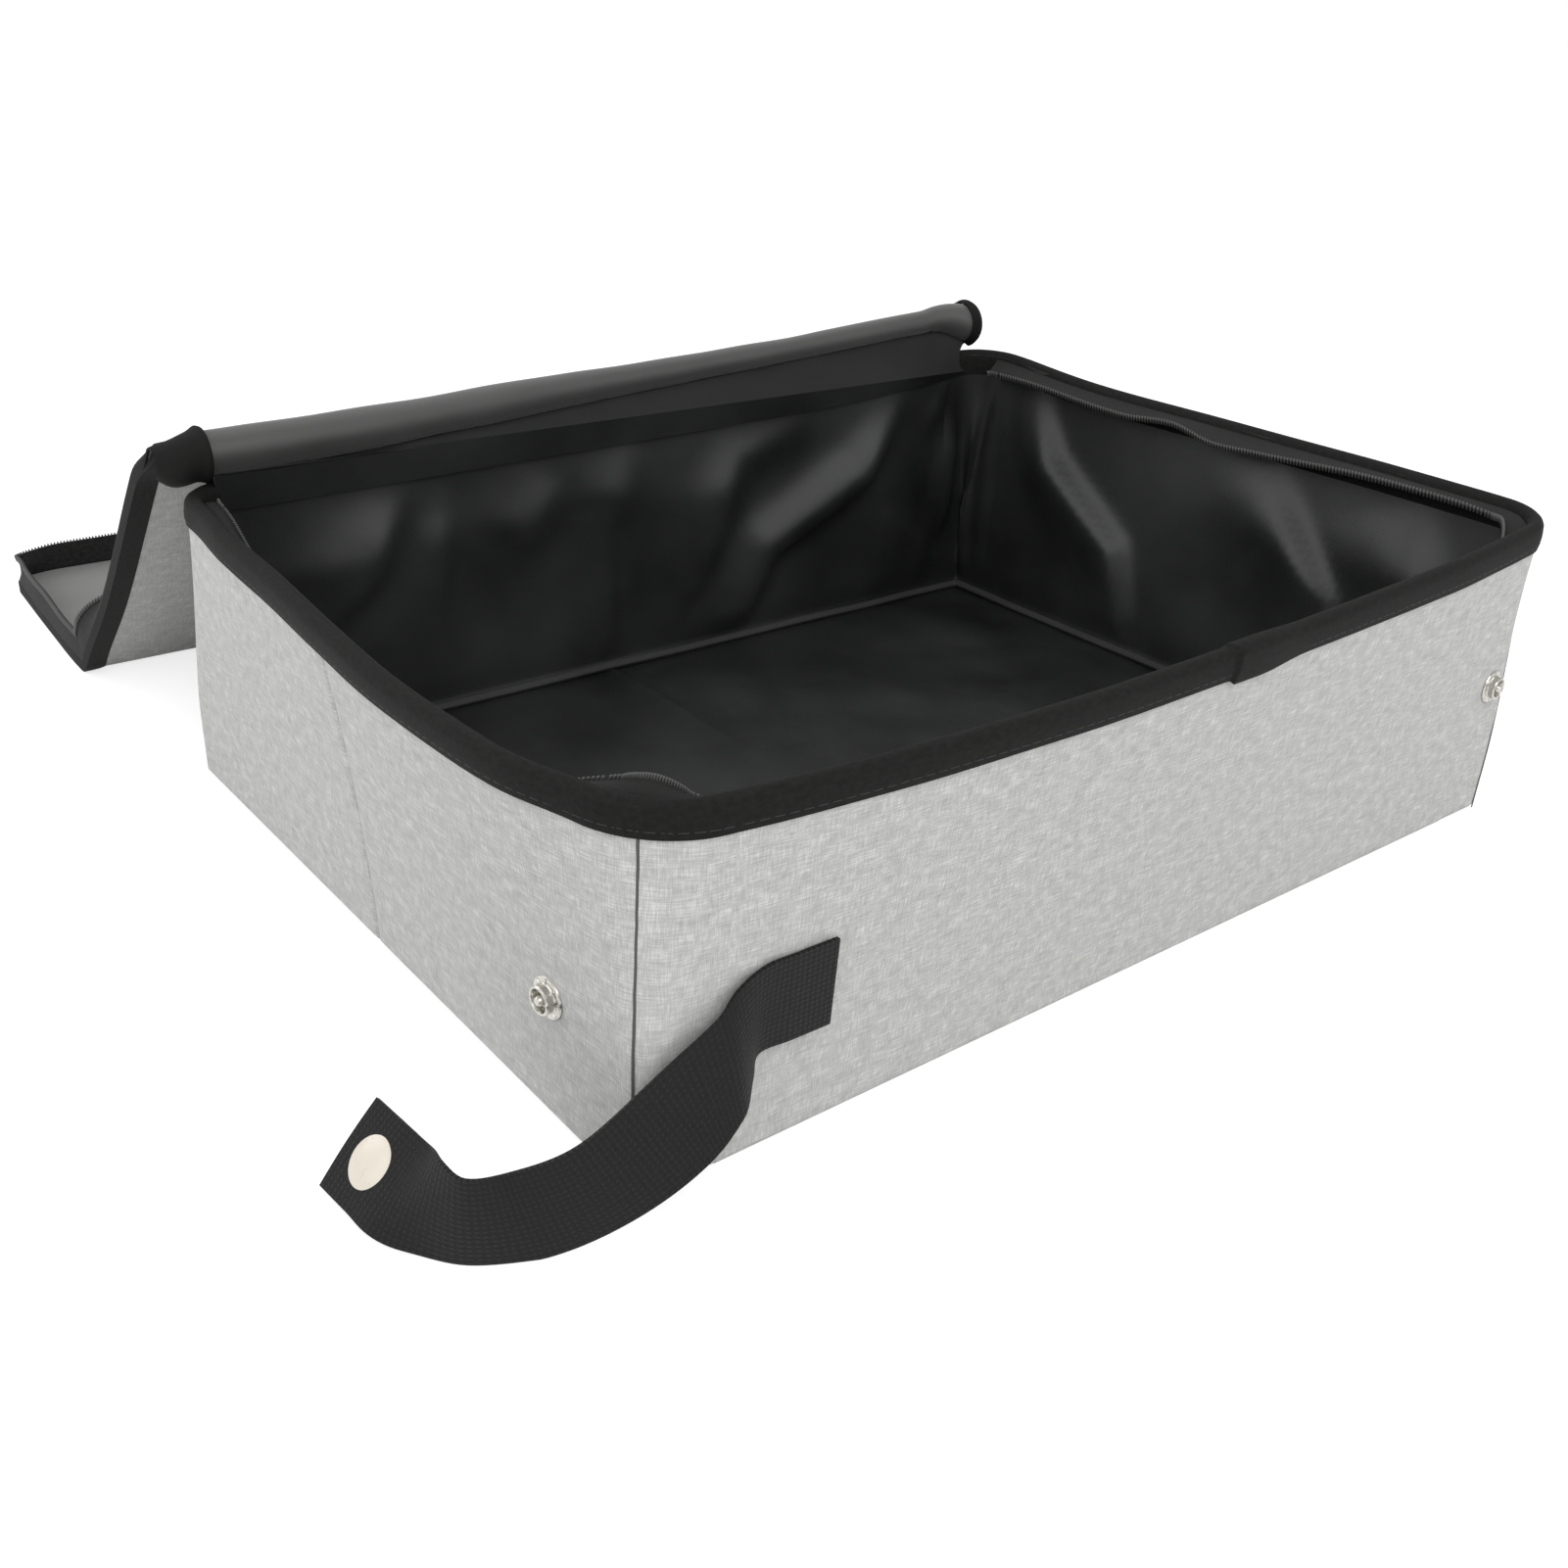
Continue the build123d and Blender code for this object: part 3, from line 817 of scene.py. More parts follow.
    def attach(self, piece: Piece, stretch: Stretch, inset: float = 0.0) -> None:
        """Let a piece ride on a stretch's body; a piece on a stretch between two bodies is only baked in
        place.

        Args:
            piece: the piece, final in its mesh.
            stretch: the stretch that it follows.
            inset: how far inside the outer face it lies.
        """
        if len(stretch.bodies) == 1:
            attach(piece, stretch.bodies[0])
            return
        reach = self.zone - stretch.ease_in if self.rounds_corner(stretch) else self.fold_reach
        start, end = (self.at(stretch.middle + side * reach, 0, inset) for side in (-1, 1))
        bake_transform(piece)
        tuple(start)
        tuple(end)


def parts_of(stretch: Stretch, *kinds: str) -> list[str]:
    """The CAD nodes of some kinds that a stretch covers. A corner covers none."""
    if stretch.name in ("front", "back"):
        found = [f"{stretch.name}_{kind}" for kind in kinds]
    elif stretch.name in ("left", "right"):
        found = [f"{stretch.name}_{half}_{kind}" for half in ("back", "front") for kind in kinds]
    else:
        found = []
    return [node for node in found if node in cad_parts]


# The tray


@dataclass(frozen=True)
class Fold:
    """A soft ridge that the loose lining makes through points of a wall, in millimetres."""

    wall: str
    points: tuple[Pair, ...]
    # How far it spreads on its two sides
    before: float
    after: float
    height: float


@dataclass
class Tray:
    """The walls: outer canvas, lining, binding, zip tape and seams."""

    outline: Outline
    wardrobe: Wardrobe
    canvas: float = 1.0 * MM
    film: float = 0.6 * MM
    binding: float = 0.8 * MM
    binding_height: float = 10 * MM
    tape: float = 0.7 * MM
    floor_top: float = 5 * MM
    seam_bead: float = 0.6 * MM
    welt: float = 2.0 * MM
    # The longest step of each layer's mesh
    canvas_pitch: float = 6 * MM
    lining_pitch: float = 3.5 * MM
    binding_pitch: float = 5 * MM
    tape_pitch: float = 3 * MM
    # How far below the rim the canvas and the lining end, under the binding
    hem: float = 1 * MM
    # The short walls' crease in the canvas
    crease_dent: float = 1.3 * MM
    crease_width: float = 1.1 * MM
    foot_round: float = 2.5 * MM
    ripple: float = 0.35 * MM
    stitch_pitch: float = 4.0 * MM
    stitch_rise: float = 2.2 * MM
    tooth_pitch: float = 1.5 * MM
    tooth_turn: float = 0.22
    # Where the binding's two ends lap on the front wall, how far, and how thick the lap stands
    lap_at: float = 197 * MM
    lap: float = 12 * MM
    lap_step: float = 1.1 * MM
    # How far the zip stops from the middle of each rear corner
    zip_stop: float = 12 * MM
    folds: tuple[Fold, ...] = (
        Fold("back", ((150, 112), (122, 72), (66, 46), (48, 10)), 15, 7, 8.2),
        Fold("back", ((97, 109), (48, 92), (26, 38)), 16, 9, 5.2),
        Fold("back", ((-11, 107), (-16, 78)), 20, 9, 4.0),
        Fold("back", ((-46, 97), (-66, 68)), 22, 12, 4.0),
        Fold("back", ((-98, 90), (-104, 46)), 9, 8, 3.2),
        Fold("back", ((-118, 102), (-127, 77), (-146, 55)), 24, 8, 5.8),
        Fold("back", ((142, 50), (177, 17)), 3.5, 3, 2.4),
        Fold("back", ((176, 108), (168, 88)), 5, 3, 3.2),
        Fold("back", ((183, 82), (180, 40)), 7, 3, 4.0),
        Fold("back", ((-20, 72), (-20, 8)), 4, 4, 1.3),
        Fold("right", ((110, 116), (107, 100), (92, 78), (46, 50), (36, 24)), 6, 17, 7.2),
        Fold("right", ((-22, 112), (-28, 98), (-50, 74), (-68, 58)), 6, 22, 7.0),
        Fold("right", ((-92, 106), (-106, 70)), 10, 26, 5.0),
        Fold("right", ((128, 114), (122, 80)), 5, 14, 3.0),
        Fold("left", ((90, 104), (52, 34)), 10, 18, 4.4),
        Fold("left", ((10, 100), (-34, 40)), 10, 16, 4.0),
        Fold("left", ((-70, 110), (-104, 52)), 11, 18, 3.6),
        Fold("front", ((-140, 108), (-104, 40)), 10, 20, 4.2),
        Fold("front", ((-60, 96), (-84, 30)), 11, 20, 3.4),
        Fold("front", ((30, 108), (2, 40)), 10, 16, 3.4),
        Fold("front", ((96, 90), (120, 34)), 10, 18, 4.4),
        Fold("front", ((160, 110), (146, 60)), 12, 18, 3.0),
    )
    # The lining's pleats at each corner, in millimetres from it
    pleat_offsets: tuple[float, ...] = (-15, -6, 5, 16)
    pleat_width: float = 4.6 * MM
    pleat_height: float = 2.0 * MM
    # The tape's free edge along the outline: its height, and how far it leans in
    tape_height: Line = Line((
        (-110, 98), (-60, 101), (-45, 105), (-30, 112), (-20, 116), (-10, 117.6), (0, 117.9), (10, 116.2),
        (20, 112.6), (30, 107), (50, 100), (150, 96), (260, 98), (360, 100), (400, 112), (420, 113),
        (436, 114), (475, 114), (528, 111), (550, 110), (573, 113), (600, 111), (650, 112), (690, 110),
        (1110, 114), (1130, 112), (1160, 104), (1190, 97), (1290, 98)))
    tape_lean: Line = Line((
        (-110, 3), (-45, 4), (0, 4.5), (45, 4), (150, 2), (360, 4), (400, 7), (436, 9), (475, 10), (550, 10),
        (573, 9), (690, 9), (1110, 4), (1160, 4), (1200, 3), (1290, 3)))
    # The corners' places along the outline, and the sewn line at each
    seams: tuple[float, ...] = (0.0, 0.4, 0.7, 1.1)
    seam_shift: float = -2 * MM
    seam_reach: float = 0.45 * MM

    def build(self) -> None:
        """Build every layer of every stretch."""
        for stretch in self.outline.stretches:
            self.outer_skin(stretch)
            self.inner_skin(stretch)
            self.rim_binding(stretch)
            if stretch.name != "back":
                self.zip_side(stretch)
            self.stitching(stretch)
            self.floor_welt(stretch)
        self.corner_seams()
        log.info("tray walls done")

    def finish_piece(self, piece: Piece, finish: Finish, stretch: Stretch, inset: float,
                     nodes: Sequence[str] = ()) -> None:
        """Dress a piece, attach it and let it stand for CAD nodes."""
        self.wardrobe.dress(piece, finish)
        self.outline.attach(piece, stretch, inset)
        if nodes:
            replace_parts(piece, *nodes)

    def outer_skin(self, stretch: Stretch) -> None:
        """The canvas outside a stretch, dented along the short walls' crease."""
        out = self.outline
        top = out.height - self.hem
        foot = 0.0 if stretch.name in ("front", "back") else 0.3 * MM
        creased = stretch.name in ("left", "right")
        extra = near(stretch.middle, -5, -3, -1.6, -1.0, -0.5, 0, 0.5, 1.0, 1.6, 3, 5) if creased else []

        def place(s: float, z: float) -> Vector:
            dent = self.crease_dent * bump(s, stretch.middle, self.crease_width) if creased else 0.0
            rounding = 1.2 * MM * (1 - ease(z, foot, foot + self.foot_round)) ** 2
            p = out.at(s, max(z, foot), 0)
            ripple = unevenness(p, 0.05, 5.0) * self.ripple * ease(z, 5 * MM, 30 * MM)
            return p - out.outward(s, z, 0) * (dent + rounding + ripple)

        us = out.stations(stretch, self.canvas_pitch, extra)
        vs = steps(foot, top, self.canvas_pitch, near(foot, 0.8, 1.6, 2.5))
        piece = cloth(f"canvas_{stretch.name}", us, vs, place, self.canvas)
        self.finish_piece(piece, LINEN, stretch, 0, parts_of(stretch, "shell", "board", "boards"))

    def fold_depth(self, s: float, z: float) -> float:
        """How far the lining stands in from its wall at a place."""
        out = self.outline
        middles = {stretch.name: stretch.middle for stretch in out.stretches}
        depth = 0.0
        for fold in self.folds:
            middle, sense = middles[fold.wall], 1 if fold.wall in ("front", "right") else -1
            spots = [Vector((middle + sense * x * MM, height * MM)) for x, height in fold.points]
            best = None
            for index, (first, last) in enumerate(zip(spots, spots[1:])):
                run, at = last - first, Vector((s, z)) - first
                t = min(1.0, max(0.0, at.dot(run) / run.length_squared))
                gap = at - run * t
                if best is None or gap.length_squared < best[0]:
                    best = (gap.length_squared, gap.cross(run) * sense, (index + t) / (len(spots) - 1))
            squared, side, along = best
            width = (fold.before if side > 0 else fold.after) * MM
            fade = 1 - 0.5 * abs(2 * along - 1) ** 3
            depth += (fold.height * MM * fade * math.exp(-squared / width ** 2)) ** 3
        depth = depth ** (1 / 3)
        for corner in self.seams:
            for index, offset in enumerate(self.pleat_offsets):
                lean = (out.height - z) * (0.04 + 0.05 * index) * (1 if index % 2 else -1)
                away = (s - corner - offset * MM - lean + out.round / 2) % out.round - out.round / 2
                depth += self.pleat_height * (0.5 + 0.3 * (index % 3)) * bump(away, 0, self.pleat_width)
        rest = Vector((s, 0, z))
        depth += (1.0 + 1.0 * unevenness(rest, 0.055, 11.0)) * MM + 0.2 * MM * unevenness(rest, 0.016, 21.0)
        held_below = ease(z, self.floor_top + 2 * MM, self.floor_top + 16 * MM)
        held_above = 1 - 0.85 * ease(z, 74 * MM, 108 * MM)
        return depth * held_below * held_above

    def inner_skin(self, stretch: Stretch) -> None:
        """The loose lining inside a stretch, with a bead where it is sewn to the floor."""
        out = self.outline
        inset = out.wall
        foot, top = self.floor_top - self.film, out.height - self.hem

        def place(s: float, z: float) -> Vector:
            bead = self.seam_bead * bump(z, self.floor_top + 2.2 * MM, 1.3 * MM)
            depth = self.fold_depth(s, z)
            return out.at(s, z, inset) - out.outward(s, z, inset) * (depth + bead)

        us = out.stations(stretch, self.lining_pitch)[::-1]
        vs = steps(foot, top, self.lining_pitch, near(self.floor_top, 0.6, 1.2, 1.8, 2.4, 3, 3.6, 4.6))
        piece = cloth(f"lining_{stretch.name}", us, vs, place, self.film)
        self.finish_piece(piece, LINING, stretch, inset, parts_of(stretch, "lining"))

    def rim_binding(self, stretch: Stretch) -> None:
        """The tape folded over the rim, a leg on each face."""
        out = self.outline
        leg = self.binding_height
        half = out.wall / 2 + self.binding
        foot = out.rim_top - leg
        # The profile is walked from the outer leg's foot over the top to the inner leg's foot
        straight = leg - half
        arc = math.pi * half
        whole = 2 * straight + arc
        lapped = stretch.name == "front"
        lap_end = self.lap_at + self.lap

        def place(s: float, v: float) -> Vector:
            puff = step = 0.0
            if lapped:
                step = self.lap_step * ease(s, self.lap_at - 1.5 * MM, self.lap_at)
                step *= 1 - ease(s, lap_end, lap_end + 2 * self.lap)
            if v < straight:
                down = 1 - v / straight
                inset = -self.binding
                z = foot + v - step * down
                z += along_edge(s, 0.03, 15.0) * 0.3 * MM * down
                puff = 0.35 * MM * math.sin(math.pi * v / straight)
            elif v > straight + arc:
                inset, z = out.wall + self.binding, foot + whole - v
            else:
                angle = (v - straight) / half
                inset = out.wall / 2 - half * math.cos(angle)
                z = out.rim_top - half + half * math.sin(angle) + step * 0.8
            p = out.at(s, min(z, out.rim_top + 1 * MM), inset)
            return p + out.outward(s, z, inset) * (puff + step * (1 if inset < out.wall / 2 else 0))

        extra = near(self.lap_at, -1.2, -0.6, -0.3, 0, 0.8) if lapped else []
        us = out.stations(stretch, self.binding_pitch, extra)
        vs = steps(0, straight, 2.5 * MM, [0.3 * MM]) + steps(straight, straight + arc, arc / 8)[1:]
        vs += steps(straight + arc, whole, 3 * MM)[1:]
        piece = cloth(f"binding_{stretch.name}", us, vs, place, self.binding)
        self.finish_piece(piece, BINDING, stretch, 0, parts_of(stretch, "binding"))

    def edge_of_tape(self, s: float) -> Pair:
        """The tape's free edge: its height, and how far it leans in."""
        if s > self.tape_height.marks[-1][0] * MM:
            s -= self.outline.round
        return self.tape_height.at(s), self.tape_lean.at(s)

    def tape_at(self, s: float, share: float, proud: float = 0.0) -> Vector:
        """A point on the tape's inner face.

        Args:
            s: distance along the outline.
            share: 0 at the tape's top and 1 at its free edge.
            proud: how far off the face.

        Returns:
            The point.
        """
        out = self.outline
        top = out.height - 2 * MM
        edge, lean = self.edge_of_tape(s)
        z = top + (edge - top) * share
        inset = out.wall + self.binding + self.tape + lean * share ** 1.6 + proud
        return out.at(s, z, inset)

    def zip_side(self, stretch: Stretch) -> None:
        """The zip tape inside a stretch, with its coil along the free edge."""
        out = self.outline
        start = stretch.middle + self.zip_stop if stretch.name == "back_left" else stretch.start
        end = stretch.middle - self.zip_stop if stretch.name == "back_right" else stretch.end

        def place(s: float, share: float) -> Vector:
            return self.tape_at(s, share, along_edge(s, 0.025, 31.0) * 0.5 * MM * share)

        vs = [1 - share for share in steps(0, 1, 0.12)]
        piece = cloth(f"zip_tape_{stretch.name}", steps(end, start, self.tape_pitch), vs, place, self.tape)
        self.finish_piece(piece, ZIP_TAPE, stretch, out.wall, parts_of(stretch, "zip_tape"))
        places = []
        for index in range(int((end - start) / self.tooth_pitch)):
            s = start + (index + 0.5) * self.tooth_pitch
            point = self.tape_at(s, 1.0, 0.4 * MM)
            there = out.matrix(s, point.z, out.wall + self.binding)
            there.translation = point
            places.append(there @ Matrix.Rotation(self.tooth_turn, 4, "Y"))
        coil = copies(f"zip_coil_{stretch.name}", tooth(), places)
        self.finish_piece(coil, COIL, stretch, out.wall)

    def stitching(self, stretch: Stretch) -> None:
        """The row of stitches near the binding's lower edge."""
        out = self.outline
        height, inset = out.rim_top - self.binding_height + self.stitch_rise, -self.binding - 0.15 * MM
        places = [out.matrix(stretch.start + (index + 0.5) * self.stitch_pitch, height, inset)
                  for index in range(int((stretch.end - stretch.start) / self.stitch_pitch))]
        row = copies(f"stitches_{stretch.name}", stitch(), places)
        self.finish_piece(row, THREAD, stretch, 0)

    def floor_welt(self, stretch: Stretch) -> None:
        """The folded edge that stands where a wall's lining is sewn to the floor's."""
        out = self.outline

        def place(s: float, v: float) -> Vector:
            angle = v * math.tau
            uneven = 0.8 * MM * along_edge(s, 0.05, 43.0)
            z = self.floor_top + self.welt * (0.7 + math.sin(angle)) + uneven
            return out.at(s, z, out.wall + self.welt * (1.3 + math.cos(angle)))

        us = out.stations(stretch, self.binding_pitch)
        piece = cloth(f"floor_welt_{stretch.name}", us, steps(0, 1, 1 / 8), place, 0)
        self.finish_piece(piece, WELT_HIGHLIGHT, stretch, out.wall)

    def corner_seams(self) -> None:
        """The sewn upright edge at each corner, a thin line of thread that follows the rounding."""
        out = self.outline
        stands_for = {"front_left": ["front_corner_seams"], "front_right": ["right_corner_tape"],
                      "back_right": ["back_corner_seams"]}
        for stretch in filter(out.rounds_corner, out.stretches):
            middle = stretch.middle + self.seam_shift
            top = out.rim_top - self.binding_height + 1 * MM

            def place(v: float, z: float) -> Vector:
                angle = v * math.pi
                waver = unevenness(Vector((0, 0, z)), 0.006, 41.0) * 0.15 * MM
                base = out.at(middle + waver - math.cos(angle) * self.seam_reach, z, 0)
                return base + out.outward(middle, z, 0) * math.sin(angle) * self.seam_reach * 0.6

            vs = steps(0.5 * MM, top, 2 * MM)
            piece = cloth(f"corner_seam_{stretch.name}", steps(0, 1, 0.17), vs, place, 0)
            self.finish_piece(piece, SEAM, stretch, 0, stands_for.get(stretch.name, []))


def tooth() -> Piece:
    """One turn of the zip's coil: a short oval bead across the tape's edge."""
    deselect()
    bpy.ops.mesh.primitive_cylinder_add(vertices=6, radius=0.42 * MM, depth=2.6 * MM, end_fill_type="NGON")
    piece = named("tooth")
    with editing(piece):
        bpy.ops.mesh.bevel(offset=0.14 * MM, segments=1)
        bpy.ops.transform.resize(value=(1.0, 1.5, 1.0))
    return piece


def stitch() -> Piece:
    """One stitch: a short thread with rounded ends."""
    deselect()
    bpy.ops.mesh.primitive_cylinder_add(vertices=6, radius=0.22 * MM, depth=2.9 * MM,
                                        rotation=(0, math.pi / 2, 0))
    piece = named("stitch")
    bpy.ops.object.transform_apply(location=False, rotation=True, scale=False)
    with editing(piece):
        bpy.ops.mesh.bevel(offset=0.12 * MM, segments=1)
    return piece


def block(name: str, size: Sequence[float], edge: float, centre: Sequence[float],
          taper: float = 0.0) -> Piece:
    """A small block with rounded edges, narrowed towards one end.

    Args:
        name: the block's name.
        size: its sides.
        edge: the rounding.
        centre: where its middle is.
        taper: how much narrower it is at its +X end.

    Returns:
        The block.
    """
    deselect()
    bpy.ops.mesh.primitive_cube_add(size=1)
    piece = named(name)
    with editing(piece):
        bpy.ops.transform.resize(value=size)
    for vertex in piece.data.vertices:
        if taper and vertex.co.x > 0:
            vertex.co.z *= (size[2] - taper) / size[2]
    with editing(piece):
        bpy.ops.mesh.bevel(offset=edge, segments=2)
    return move_to(piece, Matrix.Translation(centre))


def in_metres(*points: Pair) -> list[Pair]:
    """Points of an outline to turn, given as radius and height in millimetres."""
    return [(radius * MM, height * MM) for radius, height in points]


@dataclass
class Floor:
    """The floor: a lined panel that folds down along its middle."""

    wardrobe: Wardrobe
    top: float = 5 * MM
    reach: float = 142.5 * MM
    half_length: float = 195.4 * MM
    film: float = 0.6 * MM
    canvas: float = 1.0 * MM
    canvas_half: float = 198.6 * MM
    canvas_rise: float = 0.2 * MM
    # How far the lining runs on under the walls' lining
    lap: float = 2.2 * MM
    # Where the lining creases across, towards the back
    crease_x: float = -20 * MM
    fold_reach: float = 24 * MM

    def lining_place(self, x: float, y: float) -> Vector:
        """A point on the lining, which swells a little between its held edges."""
        p = Vector((x, y, self.top))
        free = 1 - ease(abs(x), self.half_length - 30 * MM, self.half_length)
        free *= 1 - ease(abs(y), self.reach - 25 * MM, self.reach)
        swell = (0.7 + 0.9 * unevenness(p, 0.07, 51.0)) * MM * free
        crease = 1.2 * MM * bump(x, self.crease_x, 2.4 * MM) * ease(y, 40 * MM, 130 * MM)
        crease += 0.4 * MM * bump(y, 0, 1.4 * MM)
        fine = 0.2 * MM * unevenness(p, 0.018, 61.0)
        return Vector((x, y, self.top + swell + crease + fine - 0.3 * MM))

    def canvas_place(self, x: float, y: float) -> Vector:
        """A point on the canvas, which lies flat."""
        return Vector((x, y, self.canvas_rise))

    def build(self) -> None:
        """Build the lining above and the canvas below."""
        half, lined = self.half_length, self.reach + self.lap
        offsets = (-4, -2, -1, 0, 1, 2, 4)
        xs = steps(-half, half, 5 * MM, near(self.crease_x, *offsets))
        ys = steps(-lined, lined, 5 * MM, near(0, *offsets))
        lining = cloth("floor_lining", xs, ys, self.lining_place, self.film)
        xs = steps(self.canvas_half, -self.canvas_half, 12 * MM)
        ys = steps(-self.reach, self.reach, 6 * MM)
        canvas = cloth("floor_canvas", xs, ys, self.canvas_place, self.canvas)
        for piece, finish, layers, width in ((lining, LINING, ("lining",), half),
                                             (canvas, LINEN, ("shell", "board"), self.canvas_half)):
            self.wardrobe.dress(piece, finish)
            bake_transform(piece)
            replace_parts(piece, *[f"floor_{side}_{layer}" for side in ("back", "front") for layer in layers])
        log.info("floor done")


# The lid


@dataclass
class Lid:
    """The lid, folded back over the rear rim with its outer part on the ground."""

    wardrobe: Wardrobe
    half_length: float = 200 * MM
    hinge: Vector = field(default_factory=lambda: Vector((0, 151.4 * MM, 133.5 * MM)))
    slope: float = math.radians(47.5)
    crease_reach: float = 176.4 * MM
    crease_y: float = 272.045 * MM
    lying_height: float = 2.8 * MM
    reach: float = 301.4 * MM
    # The longest step of the panels' and the ridge's mesh
    pitch: float = 6 * MM
    # How far the border's end, and inside it the panels' sides, start and end, stop short
    end_gap: float = 1.5 * MM
    panel_side: float = 1.6 * MM
    panel_start: float = 3.4 * MM
    panel_end: float = 3 * MM
    half_thick: float = 2.0 * MM
    canvas: float = 1.0 * MM
    film: float = 0.6 * MM
    binding: float = 0.8 * MM
    band: float = 8.5 * MM
    skirt: float = 1.2 * MM
    skirt_top: float = 16.4 * MM
    # Past this height the skirts of the slope are folded in flat
    skirt_stand: float = 3.5 * MM
    skirt_fold: float = math.radians(84)
    skirt_start: float = 5 * MM
    tooth_pitch: float = 1.5 * MM
    corner: float = 9 * MM
    # How far the right side comes in at the ridge, to meet the roll's end
    tuck_in: float = 8 * MM
    # The roll's top in the straight box, its slump along the ridge, and its radius there
    ridge_top: float = 137.9 * MM
    slump: Line = Line(((-200, -7.4), (-120, -5.5), (-25, -1.9), (78, 2.2), (167, 8.2), (200, 9.6)))
    ridge_radius: Line = Line(((-206, 3.5), (-201, 6.6), (-194, 7.8), (-150, 8.1), (-25, 6.4), (75, 5.2),
                               (160, 5.2), (170, 6.2), (179, 8.0), (187, 8.9)))
    # The roll droops where it ends on the left and flares up on the right
    ridge_rise: Line = Line(((-206, -5.5), (-200, -3.2), (-188, 0), (160, 0), (169, 1.4), (178, 1.8),
                             (187, 0.4)))
    ridge_left: float = -203.5 * MM
    ridge_right: float = 187 * MM
    # How far the left border stands out from its straight line, down the lid
    flare: Line = Line(((0, 1.5), (12, 3.5), (30, 4.6), (120, 5), (176, 8), (230, 6), (302, 2)))
    ridge_back: float = 155.8 * MM
    # Between these places from front to back a piece of the ridge goes over from the wall to the lid
    ridge_bend: Pair = (153.4 * MM, 160 * MM)
    # Where on the roll the cloth from the rim comes in
    roll_start: float = math.radians(-110)
    # The apron, which goes up the inside of the rim: where it stands, its foot, its top and its free ends
    apron_y: float = 142.8 * MM
    apron_foot: Line = Line(((-186, 102), (-100, 103.5), (0, 105.5), (100, 108), (150, 111), (186, 114.5)))
    apron_top: float = 116.6 * MM
    apron_end: float = 186 * MM
    # How far the cloth's free ends are drawn in between the rim and the roll
    neck: float = 5 * MM
    # How far the roll's cloth runs on down the slope, and how far down the lid the slump is felt
    slope_lap: float = 12 * MM
    slump_reach: float = 34 * MM
    # The cloth behind the rim: where it stands and starts, and how many radii above the roll's middle it ends
    back_y: float = 151.9 * MM
    back_foot: float = 108 * MM
    back_catch: float = -0.3

    def middle(self, d: float) -> tuple[Vector, Vector]:
        """The lid's middle line and its upward direction at a distance from the ridge."""
        down = Vector((0, math.cos(self.slope), -math.sin(self.slope)))
        up = Vector((0, math.sin(self.slope), math.cos(self.slope)))
        on_slope = self.hinge + down * d
        lying = Vector((0, self.crease_y + d - self.crease_reach, self.lying_height))
        share = ease(d, self.crease_reach - 7 * MM, self.crease_reach + 7 * MM)
        return on_slope.lerp(lying, share), up.lerp(UP, share).normalized()

    def at(self, x: float, d: float, h: float) -> Vector:
        """The point across the lid at x, down it by d and off its middle by h."""
        point, up = self.middle(d)
        slump = self.slump.at(x) * (1 - ease(d, 0, self.slump_reach))
        stand_out = self.flare.at(d) * ease(-x, 0.4 * self.half_length, self.half_length)
        return Vector((x - stand_out, point.y, point.z + slump)) + up * h

    def edge(self, run: float, inset: float) -> Pair:
        """The place on the lid's border.

        Args:
            run: distance along the border, down the left side, along the end and up the right side.
            inset: how far inside the border.

        Returns:
            Across the lid and down it.
        """
        half, side, r = self.half_length, self.side, self.corner
        arc = r * math.pi / 2
        run = min(run, self.border)
        mirrored = run > self.border / 2
        if mirrored:
            run = self.border - run
        if run < side:
            x, d = -half + inset, run
        elif run < side + arc:
            angle = (run - side) / r
            keep = max(r - inset, 0.4 * MM)
            x = -half + inset + keep * (1 - math.cos(angle))
            d = side + r - inset - keep * (1 - math.sin(angle))
        else:
            x, d = -half + r + (run - side - arc), side + r - inset
        return (-x - self.tuck(d) if mirrored else x), d

    def tuck(self, d: float) -> float:
        """How far the right side comes in to the roll's end."""
        return self.tuck_in * (1 - ease(d, 2 * MM, 26 * MM))

    @property
    def side(self) -> float:
        """The border's length down one side, as far as its corner."""
        return self.reach - self.end_gap - self.corner

    @property
    def border(self) -> float:
        """The border's whole length."""
        return 2 * self.side + self.corner * math.pi + 2 * (self.half_length - self.corner)

    def attach(self, piece: Piece, finish: Finish, nodes: Sequence[str]) -> None:
        """Dress a piece of the lid, bake it in place and let it stand for CAD nodes."""
        self.wardrobe.dress(piece, finish)
        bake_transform(piece)
        if nodes:
            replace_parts(piece, *nodes)

    def build(self) -> None:
        """Build the lid's layers, borders, skirts and ridge."""
        self.panels()
        self.border_bands()
        self.skirts()
        self.ridge()
        log.info("lid done")

    def panels(self) -> None:
        """The canvas below and the lining above, both a little slack."""
        half, first, last = self.half_length - self.panel_side, self.panel_start, self.reach - self.panel_end

        def slack(x: float, d: float, seed: float) -> float:
            inside = (1 - ease(abs(x), half - 30 * MM, half)) * ease(d, 10 * MM, 45 * MM)
            inside *= 1 - ease(d, last - 25 * MM, last)
            inside *= 1 - 0.8 * bump(d, self.crease_reach, 16 * MM)
            long_folds = unevenness(Vector((x, d * 0.35, 0)), 0.035, seed) * 1.3
            return (long_folds + unevenness(Vector((x, d, 0)), 0.09, seed + 5)) * MM * inside

        def rounded(x: float, d: float) -> Pair:
            """Draw the right side in to the roll's end, and the far corners to the border's rounding."""
            if d < self.crease_reach:
                return x - self.tuck(d) * ease(x, half - 40 * MM, half), d
            across, down = abs(x) - half + self.corner, d - last + self.corner
            if across <= 0 or down <= 0:
                return x, d
            share = 1 - max(across, down) / math.hypot(across, down)
            return x - math.copysign(across * share, x), d - down * share

